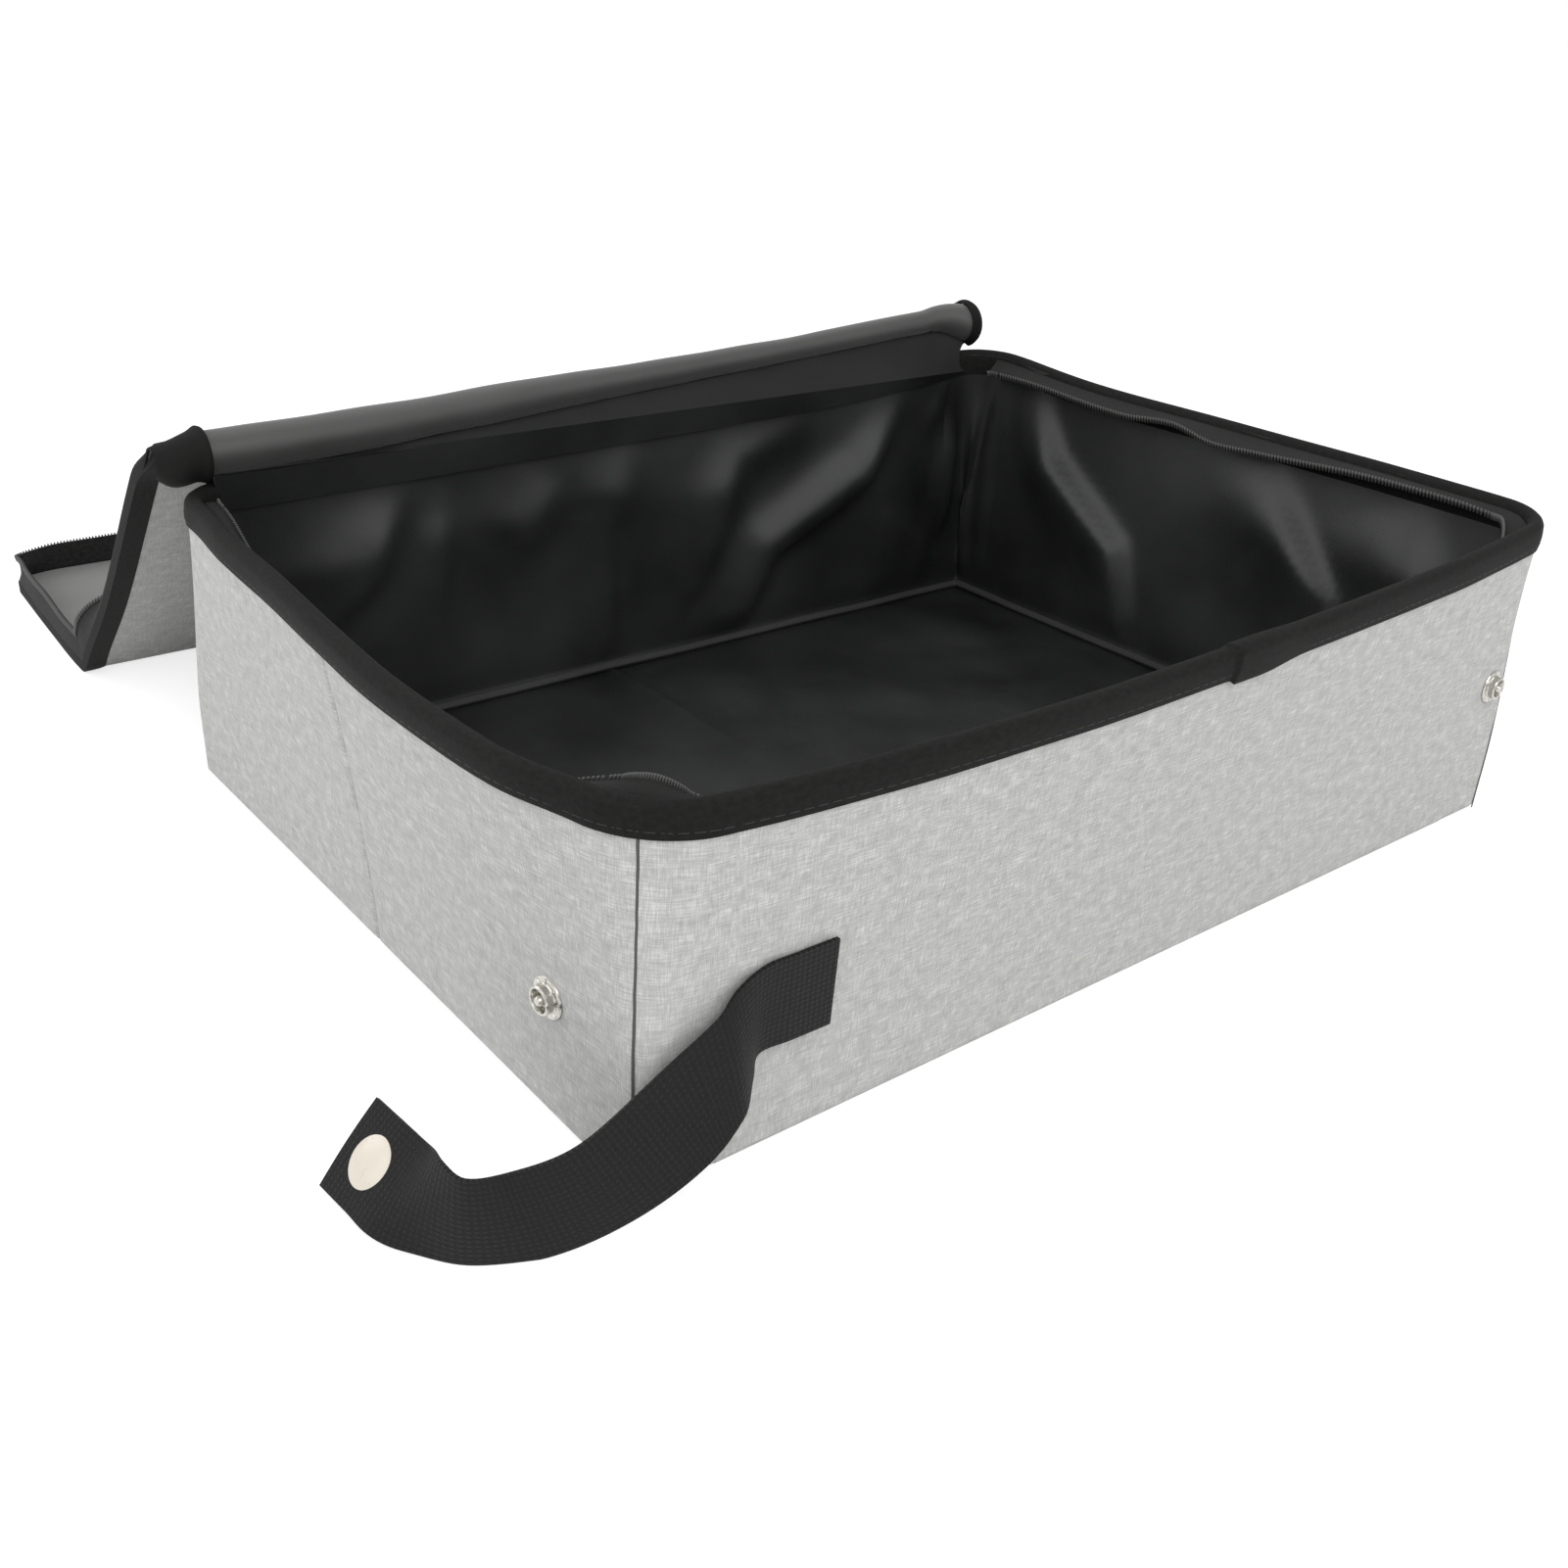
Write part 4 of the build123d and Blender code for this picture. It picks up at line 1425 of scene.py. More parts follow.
        def canvas_place(x: float, d: float) -> Vector:
            return self.at(*rounded(x, d), -self.half_thick + min(0.4 * MM, slack(x, d, 71.0)) * 0.5)

        def lining_place(x: float, d: float) -> Vector:
            swell = 0.9 * MM * ease(half - abs(x), 0, 20 * MM)
            return self.at(*rounded(x, d), self.half_thick + swell + slack(x, d, 81.0) * 0.5)

        xs = steps(-half, half, self.pitch, near(-half, 2, 4) + near(half, -2, -4))
        ds = steps(first, last, self.pitch, near(self.crease_reach, *range(-12, 13, 2)) + near(last, -2, -4))
        canvas = cloth("lid_canvas", xs[::-1], ds, canvas_place, self.canvas)
        lining = cloth("lid_lining", xs, ds[::-1], lining_place, self.film)
        for piece, finish, layers in ((canvas, LINEN, ("shell", "board")), (lining, LID_LINING_SHEEN, ("lining",))):
            nodes = [f"lid_{part}_{layer}" for part in ("inner", "outer") for layer in layers]
            self.attach(piece, finish, nodes)

    def border_bands(self) -> None:
        """The binding round the lid's canvas side, turned up over its edge."""
        turns = near(self.crease_reach, *range(-12, 13, 3)) + near(self.side, *range(0, 15, 2))
        runs = steps(0, self.border, 5 * MM, turns + [self.border - run for run in turns])
        turn = self.half_thick * 2 + self.binding

        def place(run: float, v: float) -> Vector:
            x, d = self.edge(run, max(0.0, v - turn) - 0.5 * MM)
            if v < turn:
                return self.at(x, d, self.half_thick - v)
            uneven = 0.09 * MM * along_edge(run, 0.03, 91.0)
            lift = 0.5 * MM * ((v - turn) / self.band) ** 4
            return self.at(x, d, -self.half_thick - self.binding + lift + uneven)

        vs = steps(0, turn, turn / 3) + steps(turn, turn + self.band, 2.6 * MM)[1:]
        piece = cloth("lid_border", runs, vs, place, self.binding)
        self.attach(piece, BINDING, ["lid_inner_bindings", "lid_outer_binding"])

    def skirt_at(self, run: float, h: float) -> Vector:
        """A point on the skirt's outer face."""
        share = ease(h, 0, self.skirt_top)
        wave = along_edge(run, 0.04, 101.0) * 1.6 * MM * share
        along = min(run, self.border - run)
        folded = self.skirt_fold * (1 - ease(along, 120 * MM, 165 * MM))
        past = max(0.0, h - self.skirt_stand)
        # At the lid's far corners the zip is open, so the skirt is pinched in below its edge
        pinch = 2.6 * MM * bump(along, self.side + self.corner * 0.8, 9 * MM) * math.sin(math.pi * share)
        dip = 1 - 0.12 * bump(along, self.side + self.corner, 12 * MM) * share
        x, d = self.edge(run, 0.4 * MM + wave + 0.8 * MM * share + pinch + past * math.sin(folded))
        if folded:
            d = along
        sag = along_edge(run, 0.06, 111.0) * MM * share
        # At the crease the two lengths lean apart by half the bend, so the top is gathered there
        gather = -bump(along, self.crease_reach, 22 * MM) * share * 2.4 * MM
        stand = (h - past + past * math.cos(folded)) * dip
        return self.at(x, d, stand + (sag + gather) * math.cos(folded))

    def skirts(self) -> None:
        """The zip tape that stands round the lid, with its coil along the top."""
        first, last = self.skirt_start, self.border - self.skirt_start
        runs = steps(first, last, 4 * MM, near(self.crease_reach, *range(-16, 17, 2)))
        hs = steps(-self.half_thick, self.skirt_top, 2.6 * MM)
        piece = cloth("lid_skirt", runs, hs, self.skirt_at, self.skirt * 0.7)
        self.attach(piece, ZIP_TAPE, ["lid_inner_skirts", "lid_outer_skirt"])
        places = []
        for index in range(int((last - first) / self.tooth_pitch)):
            run = first + (index + 0.5) * self.tooth_pitch
            level = self.skirt_top - 0.6 * MM
            before, point, after = (self.skirt_at(there, level) for there in near(run, -1, 0, 1))
            below = self.skirt_at(run, self.skirt_top - 3 * MM)
            along, upward = (after - before).normalized(), (point - below).normalized()
            places.append(turn_to(upward, along, point - along.cross(upward) * self.skirt))
        self.attach(copies("lid_coil", tooth(), places), COIL, [])

    def roll(self, x: float) -> Triple:
        """The roll's middle, as Y and Z, and its radius, at a place along the ridge."""
        radius = self.ridge_radius.at(x)
        top = self.ridge_top + self.slump.at(x) + self.ridge_rise.at(x)
        return self.ridge_back - max(radius, 5 * MM), top - radius, radius

    def roll_point(self, x: float, v: float) -> Vector:
        """A point on the rolled cloth.

        Args:
            x: along the ridge.
            v: 0 to 1 up the inside of the rim and on to the roll, 1 to 2 round the roll, and 2 to 3 down
                the slope.

        Returns:
            The point.
        """
        y, z, radius = self.roll(x)
        last = math.pi / 2 - self.slope

        def round_roll(angle: float) -> Vector:
            return Vector((x, y + radius * math.cos(angle), z + radius * math.sin(angle)))

        if v <= 1:
            foot = Vector((x, self.apron_y + 1.2 * MM, self.apron_foot.at(x)))
            brim = Vector((x, self.apron_y, self.apron_top))
            if v < 0.5:
                return foot.lerp(brim, v * 2)
            inward = self.neck * math.sin(math.pi * (v * 2 - 1))
            inward *= ease(abs(x), self.apron_end - 30 * MM, self.apron_end)
            point = brim.lerp(round_roll(self.roll_start), ease(v, 0.5, 1))
            return point - Vector((math.copysign(inward, x), 0, 0))
        if v <= 2:
            return round_roll(self.roll_start + (last - math.tau - self.roll_start) * (v - 1))
        down = Vector((0, math.cos(self.slope), -math.sin(self.slope)))
        return round_roll(last) + down * self.slope_lap * (v - 2)

    def declare(self, first: float, last: float, held: Hold) -> None:
        """Measure how long a cloth of the ridge is along its line; the length is not kept.

        Args:
            first: where it begins on the ridge's line, as roll_point counts it.
            last: where it ends there.
            held: not used.
        """
        line = [self.roll_point(0, v) for v in steps(first, last, 0.05)]
        sum((b - a).length for a, b in zip(line, line[1:]))

    def ridge(self) -> None:
        """The lining carried up over the rear rim and rolled into the ridge, with a band round each end."""
        def place_at(proud: float, lip: Optional[float] = None) -> Place:
            def place(x: float, v: float) -> Vector:
                point = self.roll_point(x, v)
                ahead = self.roll_point(x, min(v + 0.01, 3)) - self.roll_point(x, max(v - 0.01, 0))
                outward = Vector((0, -ahead.z, ahead.y)).normalized()
                share = ease(v, 0.8, 1.2) * (1 - ease(v, 2, 2.6))
                uneven = unevenness(Vector((x, 0, v * 0.012)), 0.035, 121.0) * 0.7 * MM * share
                fine = Vector((x, 0, v * 0.02))
                if lip is None:
                    slack = 1.5 * MM * unevenness(fine, 0.02, 141.0) * bump(v, 0.8, 0.15)
                    return point + outward * (proud + uneven + slack)
                wrinkle = unevenness(fine, 0.009, 131.0) * 0.5 * MM * share
                bead = 1.1 * MM * bump(x, lip, 1.6 * MM)
                return point + outward * (proud + uneven + wrinkle + bead)
            return place

        end = self.apron_end
        xs = steps(-end, end, self.pitch, near(0, *range(-184, -171, 4), *range(172, 185, 4)))
        apron = cloth("lid_apron", xs, steps(0, 0.5, 0.1), place_at(0.0), self.film)
        strip = cloth("lid_rise", xs, steps(0.5, 1.08, 0.06), place_at(-0.1 * MM), self.film)
        self.declare(0, 0.5, Hold.STRETCHED)
        self.declare(0.5, 1.08, Hold.STRETCHED)
        # The strip is painted darker than the roll, as painted shade under it
        for piece, finish in ((apron, LINING), (strip, RISE_SHADE)):
            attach(self.wardrobe.dress(piece, finish), "back")
        vs = steps(1, 2, 0.05) + steps(2, 3, 0.34)[1:]
        ends = (162, 165, 168, 171, 174, 177, 180, 183, 185)
        xs = steps(self.ridge_left, self.ridge_right, self.pitch, near(0, *ends, *(-k for k in ends)))
        roll = cloth("lid_ridge", xs, vs, place_at(0.0), self.film)
        self.declare(1, 3, Hold.FOLDED)
        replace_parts(self.bend_at_ridge(roll, RIDGE_SHEEN), "lid_hinge_strip")
        # Each band's two edges and the lip that stands up on it
        bands = {"left": (self.ridge_left - 1.2 * MM, -187 * MM, -188.4 * MM),
                 "right": near(self.ridge_right, -3.6, 1.4, -0.6)}
        for name, (first, last, lip) in bands.items():
            xs = steps(first, last, 1.6 * MM, near(lip, -1, 0, 1))
            band = cloth(f"lid_ridge_band_{name}", xs, vs, place_at(0.9 * MM, lip), self.binding)
            self.bend_at_ridge(band, BINDING)

        def back_head(x: float) -> float:
            _, z, radius = self.roll(x)
            return z + self.back_catch * radius

        def back_place(x: float, v: float) -> Vector:
            foot = Vector((x, self.back_y, self.back_foot))
            return foot.lerp(Vector((x, self.back_y, back_head(x))), v)

        back = cloth("lid_hinge_cloth", steps(end, -end, 8 * MM), steps(0, 1, 0.25), back_place, self.film)
        back_head(0) - self.back_foot
        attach(self.wardrobe.dress(back, BINDING), "back")

    def bend_at_ridge(self, piece: Piece, finish: Finish) -> Piece:
        """Dress a piece of the ridge and bake it in place."""
        self.wardrobe.dress(piece, finish)
        start, end = self.ridge_bend
        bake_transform(piece)
        return piece


# The fasteners


@dataclass
class Strap:
    """The webbing strap, from its sewn root on the front wall to the snap on its curled end."""

    outline: Outline
    wardrobe: Wardrobe
    width: float = 26 * MM
    thick: float = 1.3 * MM
    corner: Vector = field(default_factory=lambda: Vector((-0.2, -0.15, 0)))
    hinge: Vector = field(default_factory=lambda: Vector((-0.1652, -0.1513, 0.046)))
    bend: Vector = field(default_factory=lambda: Vector((-0.2442, -0.143604, 0.013)))
    # Lower and upper edges, as shares of the width from the tray's corner
    root: tuple[tuple[Triple, Triple], ...] = (
        ((2.19, -0.035, 1.440), (2.25, -0.035, 2.415)),
        ((1.72, -0.035, 1.430), (1.75, -0.035, 2.405)),
        ((1.27, -0.045, 1.420), (1.36, -0.045, 2.395)))
    run: tuple[tuple[Triple, Triple], ...] = (
        ((1.050, -0.270, 1.270), (1.020, -0.090, 2.270)),
        ((0.760, -0.577, 1.038), (0.740, -0.130, 2.000)),
        ((0.288, -0.577, 0.692), (-0.077, -0.125, 1.460)),
        ((-0.385, -0.385, 0.288), (-0.769, -0.105, 1.154)),
        ((-1.077, -0.096, 0.030), (-1.308, 0.135, 0.960)))
    curl: tuple[tuple[Triple, Triple], ...] = (
        ((-1.700, 0.246, 0.010), (-1.700, 0.246, 1.005)),
        ((-2.020, 0.615, 0.010), (-1.731, 0.596, 0.954)))
    # The flat end: its place in plan, where it points, how far its face leans back, and its length
    end: Pair = (-2.040, 2.000)
    heading: float = math.radians(95.0)
    lean: float = math.radians(43.5)
    tip_length: float = 24 * MM
    cap_from_end: float = 11 * MM
    # The mesh's longest steps, and how far the webbing's middle stands out from its edges
    along_pitch: float = 1.6 * MM
    across_pitch: float = 2.2 * MM
    cup: float = 0.5 * MM
    # How far the strap stays off the ground
    clear: float = 0.35 * MM
    # The box of stitches, in millimetres along the strap and across it, and its stitches' pitch
    root_box: tuple[Pair, ...] = ((2.5, 3.0), (22.0, 3.0), (22.0, 23.0), (2.5, 23.0))
    root_pitch: float = 3.2

    def tip(self) -> tuple[Vector, Vector, Vector, Vector]:
        """The flat end: its last middle point, and its directions along, across and out of its face."""
        along = Vector((math.cos(self.heading), math.sin(self.heading), 0))
        side = along.cross(UP)
        across = UP * math.cos(self.lean) + side * math.sin(self.lean)
        out = UP * math.sin(self.lean) - side * math.cos(self.lean)
        height = self.width / 2 * math.cos(self.lean) + self.thick / 2 * math.sin(self.lean)
        last = self.corner + Vector((*self.end, 0)) * self.width + UP * height
        return last, along, across, out

    def rails(self) -> tuple[list[Vector], list[Vector]]:
        """The points that the lower and the upper edge pass."""
        lower, upper = [], []
        for low, high in (*self.root, *self.run, *self.curl):
            ends = [self.corner + Vector(share) * self.width for share in (low, high)]
            middle = (ends[0] + ends[1]) / 2
            half = (ends[1] - ends[0]).normalized() * self.width / 2
            lower.append(middle - half)
            upper.append(middle + half)
        last, along, across, _ = self.tip()
        for back in (self.tip_length, self.tip_length * 0.55, 0.0):
            middle = last - along * back
            lower.append(middle - across * self.width / 2)
            upper.append(middle + across * self.width / 2)
        return lower, upper

    def build(self) -> None:
        """Build the webbing in two pieces and its snap."""
        lower, upper = self.rails()
        middles = [(a + b) / 2 for a, b in zip(lower, upper)]
        places = [0.0]
        for a, b in zip(middles, middles[1:]):
            places.append(places[-1] + (b - a).length)
        # The root's last point, and the run's last, before which the two pieces of webbing meet
        sewn, meet = len(self.root) - 1, len(self.root) + len(self.run) - 1
        split = (places[meet - 1] + places[meet]) / 2

        def on(points: list[Vector], u: float) -> Vector:
            return through(points, places, u)

        def place(u: float, v: float) -> Vector:
            low, high = on(lower, u), on(upper, u)
            across = (high - low).normalized()
            along = (on(middles, u + 0.5 * MM) - on(middles, u - 0.5 * MM)).normalized()
            face = across.cross(along).normalized()
            off_middle = v / self.width - 0.5
            middle = (low + high) / 2
            cup = self.cup * math.cos(math.pi * off_middle) * ease(u, places[sewn], places[sewn + 2])
            on_wall = Vector((middle.x, self.corner.y, middle.z))
            bow = (self.outline.bowed(on_wall) - on_wall) * (1 - ease(u, places[sewn], places[sewn + 3]))
            p = middle + across * self.width * off_middle + face * (self.thick / 2 + cup) + bow
            p.z = max(p.z, self.clear)
            return p

        swing = self.hinge + Vector((6 * MM, 0, 0)), self.hinge - Vector((9 * MM, 0, 0))
        side = Vector((8 * MM, -8 * MM, 0))
        curl = self.bend + side, self.bend - side
        for name, first, last, bodies, (start, end), nodes in (
                ("run", 0.0, split, ("front", "strap_run"), swing, ("strap_root", "strap_run")),
                ("end", split, places[-1], ("strap_run", "strap_end"), curl, ("strap_end",))):
            us, vs = steps(first, last, self.along_pitch), steps(0, self.width, self.across_pitch)
            piece = cloth(f"strap_{name}", us, vs, place, self.thick)
            self.wardrobe.dress(piece, WEBBING)
            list(bodies)
            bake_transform(piece)
            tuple(start)
            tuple(end)
            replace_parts(piece, *nodes)
        self.root_stitches(place)
        self.snap()
        log.info("strap done")

    def root_stitches(self, place: Place) -> None:
        """The box of stitches that holds the strap's root."""
        outwards, places = Vector((0, -1, 0)), []
        for (u0, v0), (u1, v1) in zip(self.root_box, self.root_box[1:] + self.root_box[:1]):
            length = math.hypot(u1 - u0, v1 - v0)
            count = round(length / self.root_pitch)
            for k in range(count):
                t = (k + 0.5) / count
                u, v = (u0 + (u1 - u0) * t) * MM, (v0 + (v1 - v0) * t) * MM
                along = place(u + (u1 - u0) / length * MM, v + (v1 - v0) / length * MM) - place(u, v)
                places.append(turn_to(outwards, along, place(u, v) + outwards * 0.05 * MM))
        row = copies("strap_stitches", stitch(), places)
        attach(self.wardrobe.dress(row, THREAD), "front")

    def snap(self) -> None:
        """The enamelled cap on the strap's face and the socket behind it."""
        last, along, across, out = self.tip()
        middle = last - along * self.cap_from_end
        dome = in_metres((0, 0), (7.6, 0), (8, 0.35), (7.88, 0.8), (7.44, 1.25), (6.4, 1.7), (4.4, 2.1),
                         (2.24, 2.28), (0, 2.34))
        cap = turned("snap_cap_dome", dome, 48)
        move_to(cap, turn_to(out, across, middle + out * (self.thick / 2 + 0.25 * MM)))
        self.wardrobe.dress(cap, ENAMEL)
        cup = in_metres((0, 0), (5.952, 0), (6.2, 0.3), (6.2, 2.5), (6.324, 3.0), (6.014, 3.4),
                        (5.332, 3.3), (4.9, 2.6), (4.75, 1.6), (4.6, 0.9), (2.2, 0.8), (1.8, 0.95), (0, 1.0))
        socket = turned("snap_socket_cup", cup, 48)
        move_to(socket, turn_to(out * -1, across, middle - out * (self.thick / 2)))
        self.wardrobe.dress(socket, NICKEL)
        for piece, node in ((cap, "snap_cap"), (socket, "snap_socket")):
            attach(piece, "strap_end")
            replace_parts(piece, node)


@dataclass
class Studs:
    """The two press studs on the walls, with their backings inside."""

    outline: Outline
    wardrobe: Wardrobe
    # How far each stud is from the end of its wall, and its height
    left_back: float = 39.0 * MM
    left_height: float = 43.5 * MM
    front_in: float = 16 * MM
    front_height: float = 55 * MM
    # How deep the stud's flange and the backing inside lie below the wall's face
    stud_sink: float = 0.1 * MM
    backing_sink: float = 1.0 * MM
    spokes: int = 8

    def build(self) -> None:
        """Build a stud and a backing at each place."""
        out = self.outline
        places = (("left", out.round - self.left_back, self.left_height, "left_front"),
                  ("front", out.length - self.front_in, self.front_height, "front"))
        for name, s, z, body in places:
            at, outward = out.at(s, z, 0), out.outward(s, z, 0)
            stud = self.stud(f"{name}_press_stud")
            move_to(stud, turn_to(outward, UP, at - outward * self.stud_sink))
            disc = in_metres((0, 0), (4.9, 0), (5, 0.3), (4.6, 0.8), (2, 1.0), (0, 1.0))
            backing = turned(f"{name}_press_backing", disc, 32)
            move_to(backing, turn_to(outward * -1, UP, at - outward * self.backing_sink))
            for piece, node in ((stud, f"{name}_stud"), (backing, f"{name}_stud_backing")):
                self.wardrobe.dress(piece, NICKEL)
                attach(piece, body)
                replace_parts(piece, node)
        log.info("studs done")

    def stud(self, name: str) -> Piece:
        """A pressed flange with ribs round it, a raised ring, and a round post."""
        body = turned("stud_body", in_metres(
            (0, -1.0), (1.9, -1.0), (1.9, 0), (6.1, 0), (6.3, 0.25), (6.1, 0.6), (5.4, 0.9), (4.7, 0.85),
            (4.3, 1.2), (4.15, 2.4), (4.3, 3.0), (4.05, 3.35), (3.5, 3.3), (3.3, 2.8), (3.1, 1.1), (1.6, 0.9),
            (1.5, 3.2), (1.1, 3.8), (0, 4.0)), 48)
        ribs = []
        for k in range(self.spokes):
            rib = block("stud_rib", (1.5 * MM, 0.7 * MM, 0.5 * MM), 0.15 * MM, (5.1 * MM, 0, 0.85 * MM))
            ribs.append(move_to(rib, Matrix.Rotation(math.tau * k / self.spokes, 4, "Z")))
        piece = join(name, [body, *ribs])
        smooth(piece, 35)
        return piece


@dataclass
class Zip:
    """The slider on the front wall's coil, with its pull."""

    outline: Outline
    tray: Tray
    wardrobe: Wardrobe
    start: float = -38 * MM
    bar_y: float = -140.05 * MM
    bar_z: float = 93.1 * MM
    # The straight tape's coil, and the slider's front face
    coil_y: float = -143.2 * MM
    face_y: float = -142.0 * MM
    # How much narrower the slider is at one end
    taper: float = 1.9 * MM

    def shift(self) -> Vector:
        """How far the leaning tape holds the slider from its straight place."""
        s = self.start + self.outline.length / 2
        edge = self.tray.tape_at(s, 0.97, 1.2 * MM)
        return edge - Vector((self.start, self.coil_y, self.bar_z))

    def build(self) -> None:
        """Build the slider and the pull."""
        x, face, z = self.start, self.face_y, self.bar_z
        plate = (8.0 * MM, 0.9 * MM, 6.0 * MM)
        under = (8.0 * MM, 0.6 * MM, 6.0 * MM)
        post = (1.6 * MM, 2.4 * MM, 1.2 * MM)
        ear = (1.0 * MM, 2.9 * MM, 2.6 * MM)
        parts = [block("slider_top", plate, 0.35 * MM, (x, face + 0.3 * MM, z), self.taper),
                 block("slider_bottom", under, 0.25 * MM, (x, face - 2.6 * MM, z), self.taper),
                 block("slider_post", post, 0.15 * MM, (x - 2.8 * MM, face - 1.2 * MM, z))]
        for side in (-1, 1):
            parts.append(block("slider_ear", ear, 0.3 * MM, (x + side * 2.7 * MM, face + 1.6 * MM, z)))
        deselect()
        bpy.ops.mesh.primitive_cylinder_add(vertices=16, radius=0.5 * MM, depth=5.4 * MM)
        bar = named("slider_bar")
        with editing(bar):
            bpy.ops.mesh.bevel(offset=0.1 * MM, segments=1)
        move_to(bar, Matrix.Translation((x, self.bar_y, z)) @ Matrix.Rotation(math.pi / 2, 4, "Y"))
        body = join("zip_slider_body", [*parts, bar])
        for piece, name in ((body, "zip_slider"), (self.pull(), "zip_pull")):
            move_to(piece, Matrix.Translation(self.shift()))
            smooth(piece, 35)
            self.wardrobe.dress(piece, PAINTED_ZINC)
            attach(piece, name)
            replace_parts(piece, name)
        log.info("zip done")

    def pull(self) -> Piece:
        """The tag: an eye round the slider's bar, a neck and a rounded grip with a recess."""
        deselect()
        bpy.ops.mesh.primitive_torus_add(major_radius=1.2 * MM, minor_radius=0.35 * MM, major_segments=24,
                                         minor_segments=10, rotation=(0, math.pi / 2, 0))
        eye = named("pull_eye")
        bpy.ops.object.transform_apply(location=False, rotation=True, scale=False)
        eye.data.transform(Matrix.Diagonal((4.2, 1.0, 1.0, 1.0)))
        neck = block("pull_neck", (3.2 * MM, 1.1 * MM, 4.4 * MM), 0.3 * MM, (0, 0, -3.2 * MM))
        grip = block("pull_grip", (5.6 * MM, 1.2 * MM, 12.0 * MM), 0.45 * MM, (0, 0, -11.0 * MM))
        take(grip)
        bpy.ops.object.mode_set(mode="EDIT")
        bpy.ops.mesh.select_mode(type="FACE")
        bpy.ops.mesh.select_all(action="DESELECT")
        bpy.ops.object.mode_set(mode="OBJECT")
        for polygon in grip.data.polygons:
            polygon.select = abs(polygon.normal.y) > 0.99
        bpy.ops.object.mode_set(mode="EDIT")
        bpy.ops.mesh.inset(thickness=0.8 * MM)
        bpy.ops.mesh.inset(thickness=0.2 * MM, depth=-0.25 * MM)
        bpy.ops.object.mode_set(mode="OBJECT")
        piece = join("zip_pull_tag", [eye, neck, grip])
        return move_to(piece, Matrix.Translation((self.start, self.bar_y, self.bar_z)))


# The studio


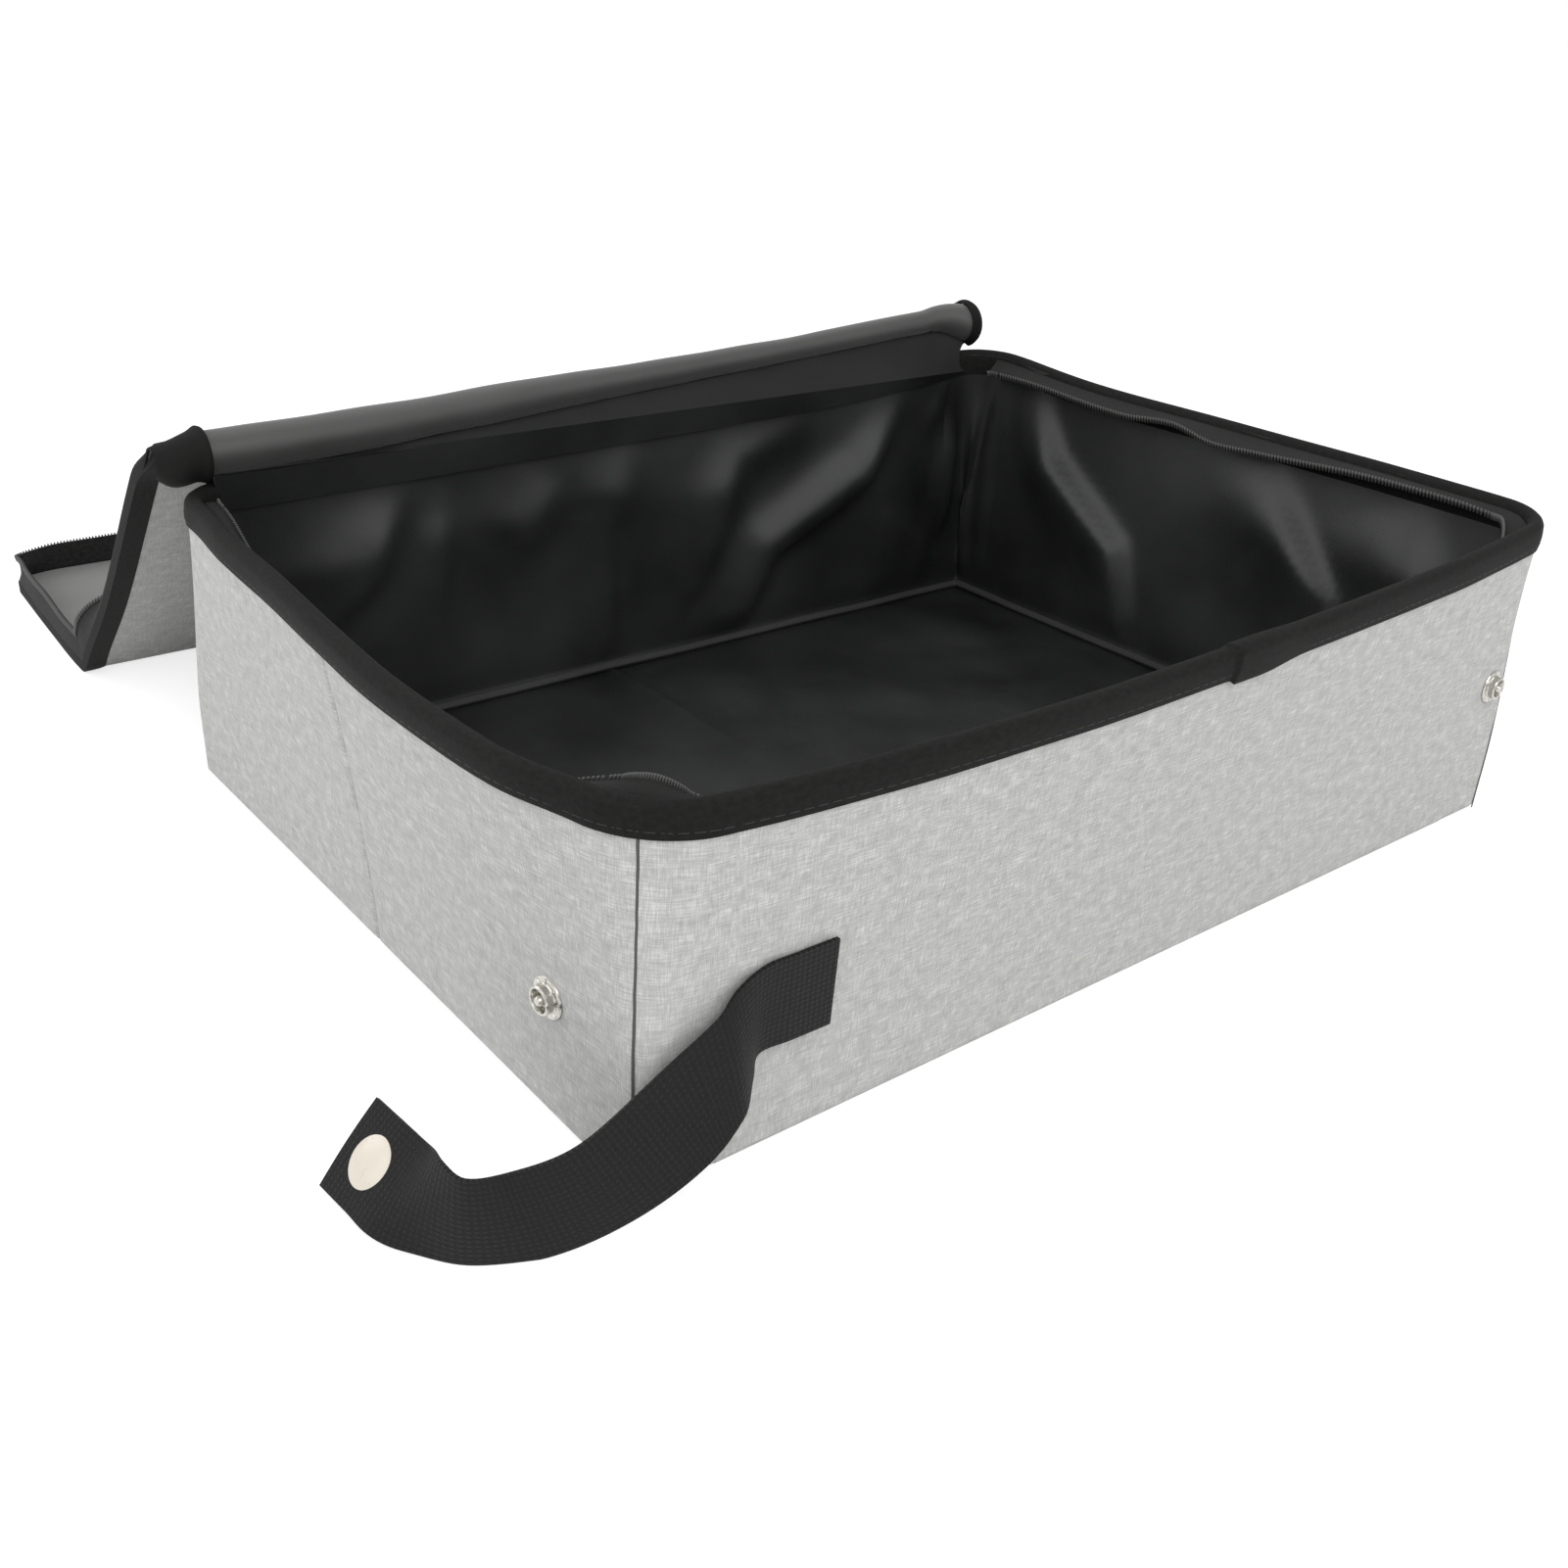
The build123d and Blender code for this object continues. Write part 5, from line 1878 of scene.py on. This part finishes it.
@dataclass
class Studio:
    """A pale floor, soft light and the camera at the photograph's angle."""

    azimuth: float = math.radians(-39.60)
    elevation: float = math.radians(26.58)
    roll: float = math.radians(2.84)
    place: Triple = (-0.3769, -0.4142, 0.2805)
    lens: float = 36.55
    sensor: float = 36.0
    # What the lamps point at, and each lamp's place, size and power
    aim: Triple = (0, 0.05, 0.05)
    lamps: tuple[tuple[str, Triple, float, float], ...] = (
        ("key", (-0.45, -1.2, 1.4), 1.2, 13.0), ("fill", (-1.5, 0.1, 0.9), 1.2, 5.0),
        ("side", (0.8, -1.5, 0.9), 1.0, 4.0), ("back", (-0.9, 1.4, 1.0), 1.2, 7.0),
        ("top", (0.5, 0.5, 1.7), 1.0, 4.0))
    # How bright the sky is for the object, and how much of the floor's white is its own light
    sky: float = 0.62
    floor_glow: float = 0.74

    def build(self) -> None:
        """Set up the camera, the lights and the floor."""
        self.camera()
        self.lights()
        self.floor()
        log.info("studio done")

    def camera(self) -> None:
        """Stand the camera where the photograph was taken from."""
        a, e, r = self.azimuth, self.elevation, self.roll
        back = Vector((math.sin(a) * math.cos(e), -math.cos(a) * math.cos(e), math.sin(e)))
        right = Vector((math.cos(a), math.sin(a), 0))
        up = back.cross(right)
        x = right * math.cos(r) + up * math.sin(r)
        y = up * math.cos(r) - right * math.sin(r)
        data = bpy.data.cameras.new("camera")
        data.lens, data.sensor_width = self.lens, self.sensor
        data.clip_start, data.clip_end = 0.01, 20.0
        camera = bpy.data.objects.new("camera", data)
        bpy.context.scene.collection.objects.link(camera)
        camera.matrix_world = Matrix.Translation(self.place) @ Matrix((x, y, back)).transposed().to_4x4()
        bpy.context.scene.camera = camera

    def lights(self) -> None:
        """An even pale sky with a soft key and a weaker fill."""
        scene = bpy.context.scene
        scene.view_settings.view_transform = "Standard"
        world = bpy.data.worlds.new("studio")
        scene.world = world
        world.use_nodes = True
        tree = world.node_tree
        tree.nodes.clear()
        path = add_node(tree, "ShaderNodeLightPath")
        sky = add_node(tree, "ShaderNodeBackground", {"Color": linear(WHITE), "Strength": self.sky})
        seen = add_node(tree, "ShaderNodeBackground", {"Color": linear(WHITE), "Strength": 1.0})
        mix = add_node(tree, "ShaderNodeMixShader", {},
                       {0: path.outputs["Is Camera Ray"], 1: sky.outputs[0], 2: seen.outputs[0]})
        add_node(tree, "ShaderNodeOutputWorld", {}, {"Surface": mix.outputs[0]})
        for name, place, size, power in self.lamps:
            data = bpy.data.lights.new(name, "AREA")
            data.shape, data.size, data.energy = "SQUARE", size, power
            lamp = bpy.data.objects.new(name, data)
            scene.collection.objects.link(lamp)
            lamp.location = place
            lamp.rotation_mode = "QUATERNION"
            lamp.rotation_quaternion = (Vector(self.aim) - Vector(place)).to_track_quat("-Z", "Y")

    def floor(self) -> None:
        """A white floor that keeps the object's shadow and is otherwise as white as the backdrop."""
        deselect()
        bpy.ops.mesh.primitive_plane_add(size=12)
        piece = named("studio_floor")
        material = bpy.data.materials.new("studio_floor")
        material.use_nodes = True
        tree = material.node_tree
        tree.nodes.clear()
        path = add_node(tree, "ShaderNodeLightPath")
        seen = add_node(tree, "ShaderNodeMath", {"operation": "MAXIMUM"},
                        {0: path.outputs["Is Camera Ray"], 1: path.outputs["Is Glossy Ray"]}).outputs[0]
        plain = add_node(tree, "ShaderNodeBsdfDiffuse", {"Color": linear("#E8E8E8")})
        dim = add_node(tree, "ShaderNodeBsdfDiffuse", {"Color": linear("#B0B0B0")})
        glow = add_node(tree, "ShaderNodeEmission", {"Color": linear(WHITE), "Strength": self.floor_glow})
        both = add_node(tree, "ShaderNodeAddShader", {}, {0: dim.outputs[0], 1: glow.outputs[0]})
        mix = add_node(tree, "ShaderNodeMixShader", {}, {0: seen, 1: plain.outputs[0], 2: both.outputs[0]})
        add_node(tree, "ShaderNodeOutputMaterial", {}, {"Surface": mix.outputs[0]})
        piece.data.materials.append(material)


def main() -> None:
    """Build the studio and every sub-assembly in order."""
    logging.basicConfig(level=logging.INFO, format="%(name)s: %(message)s")
    deselect()
    Studio().build()
    wardrobe = Wardrobe()
    outline = Outline()
    tray = Tray(outline, wardrobe)
    tray.build()
    Floor(wardrobe).build()
    Lid(wardrobe).build()
    Strap(outline, wardrobe).build()
    Studs(outline, wardrobe).build()
    Zip(outline, tray, wardrobe).build()


if __name__ == "__main__":
    main()
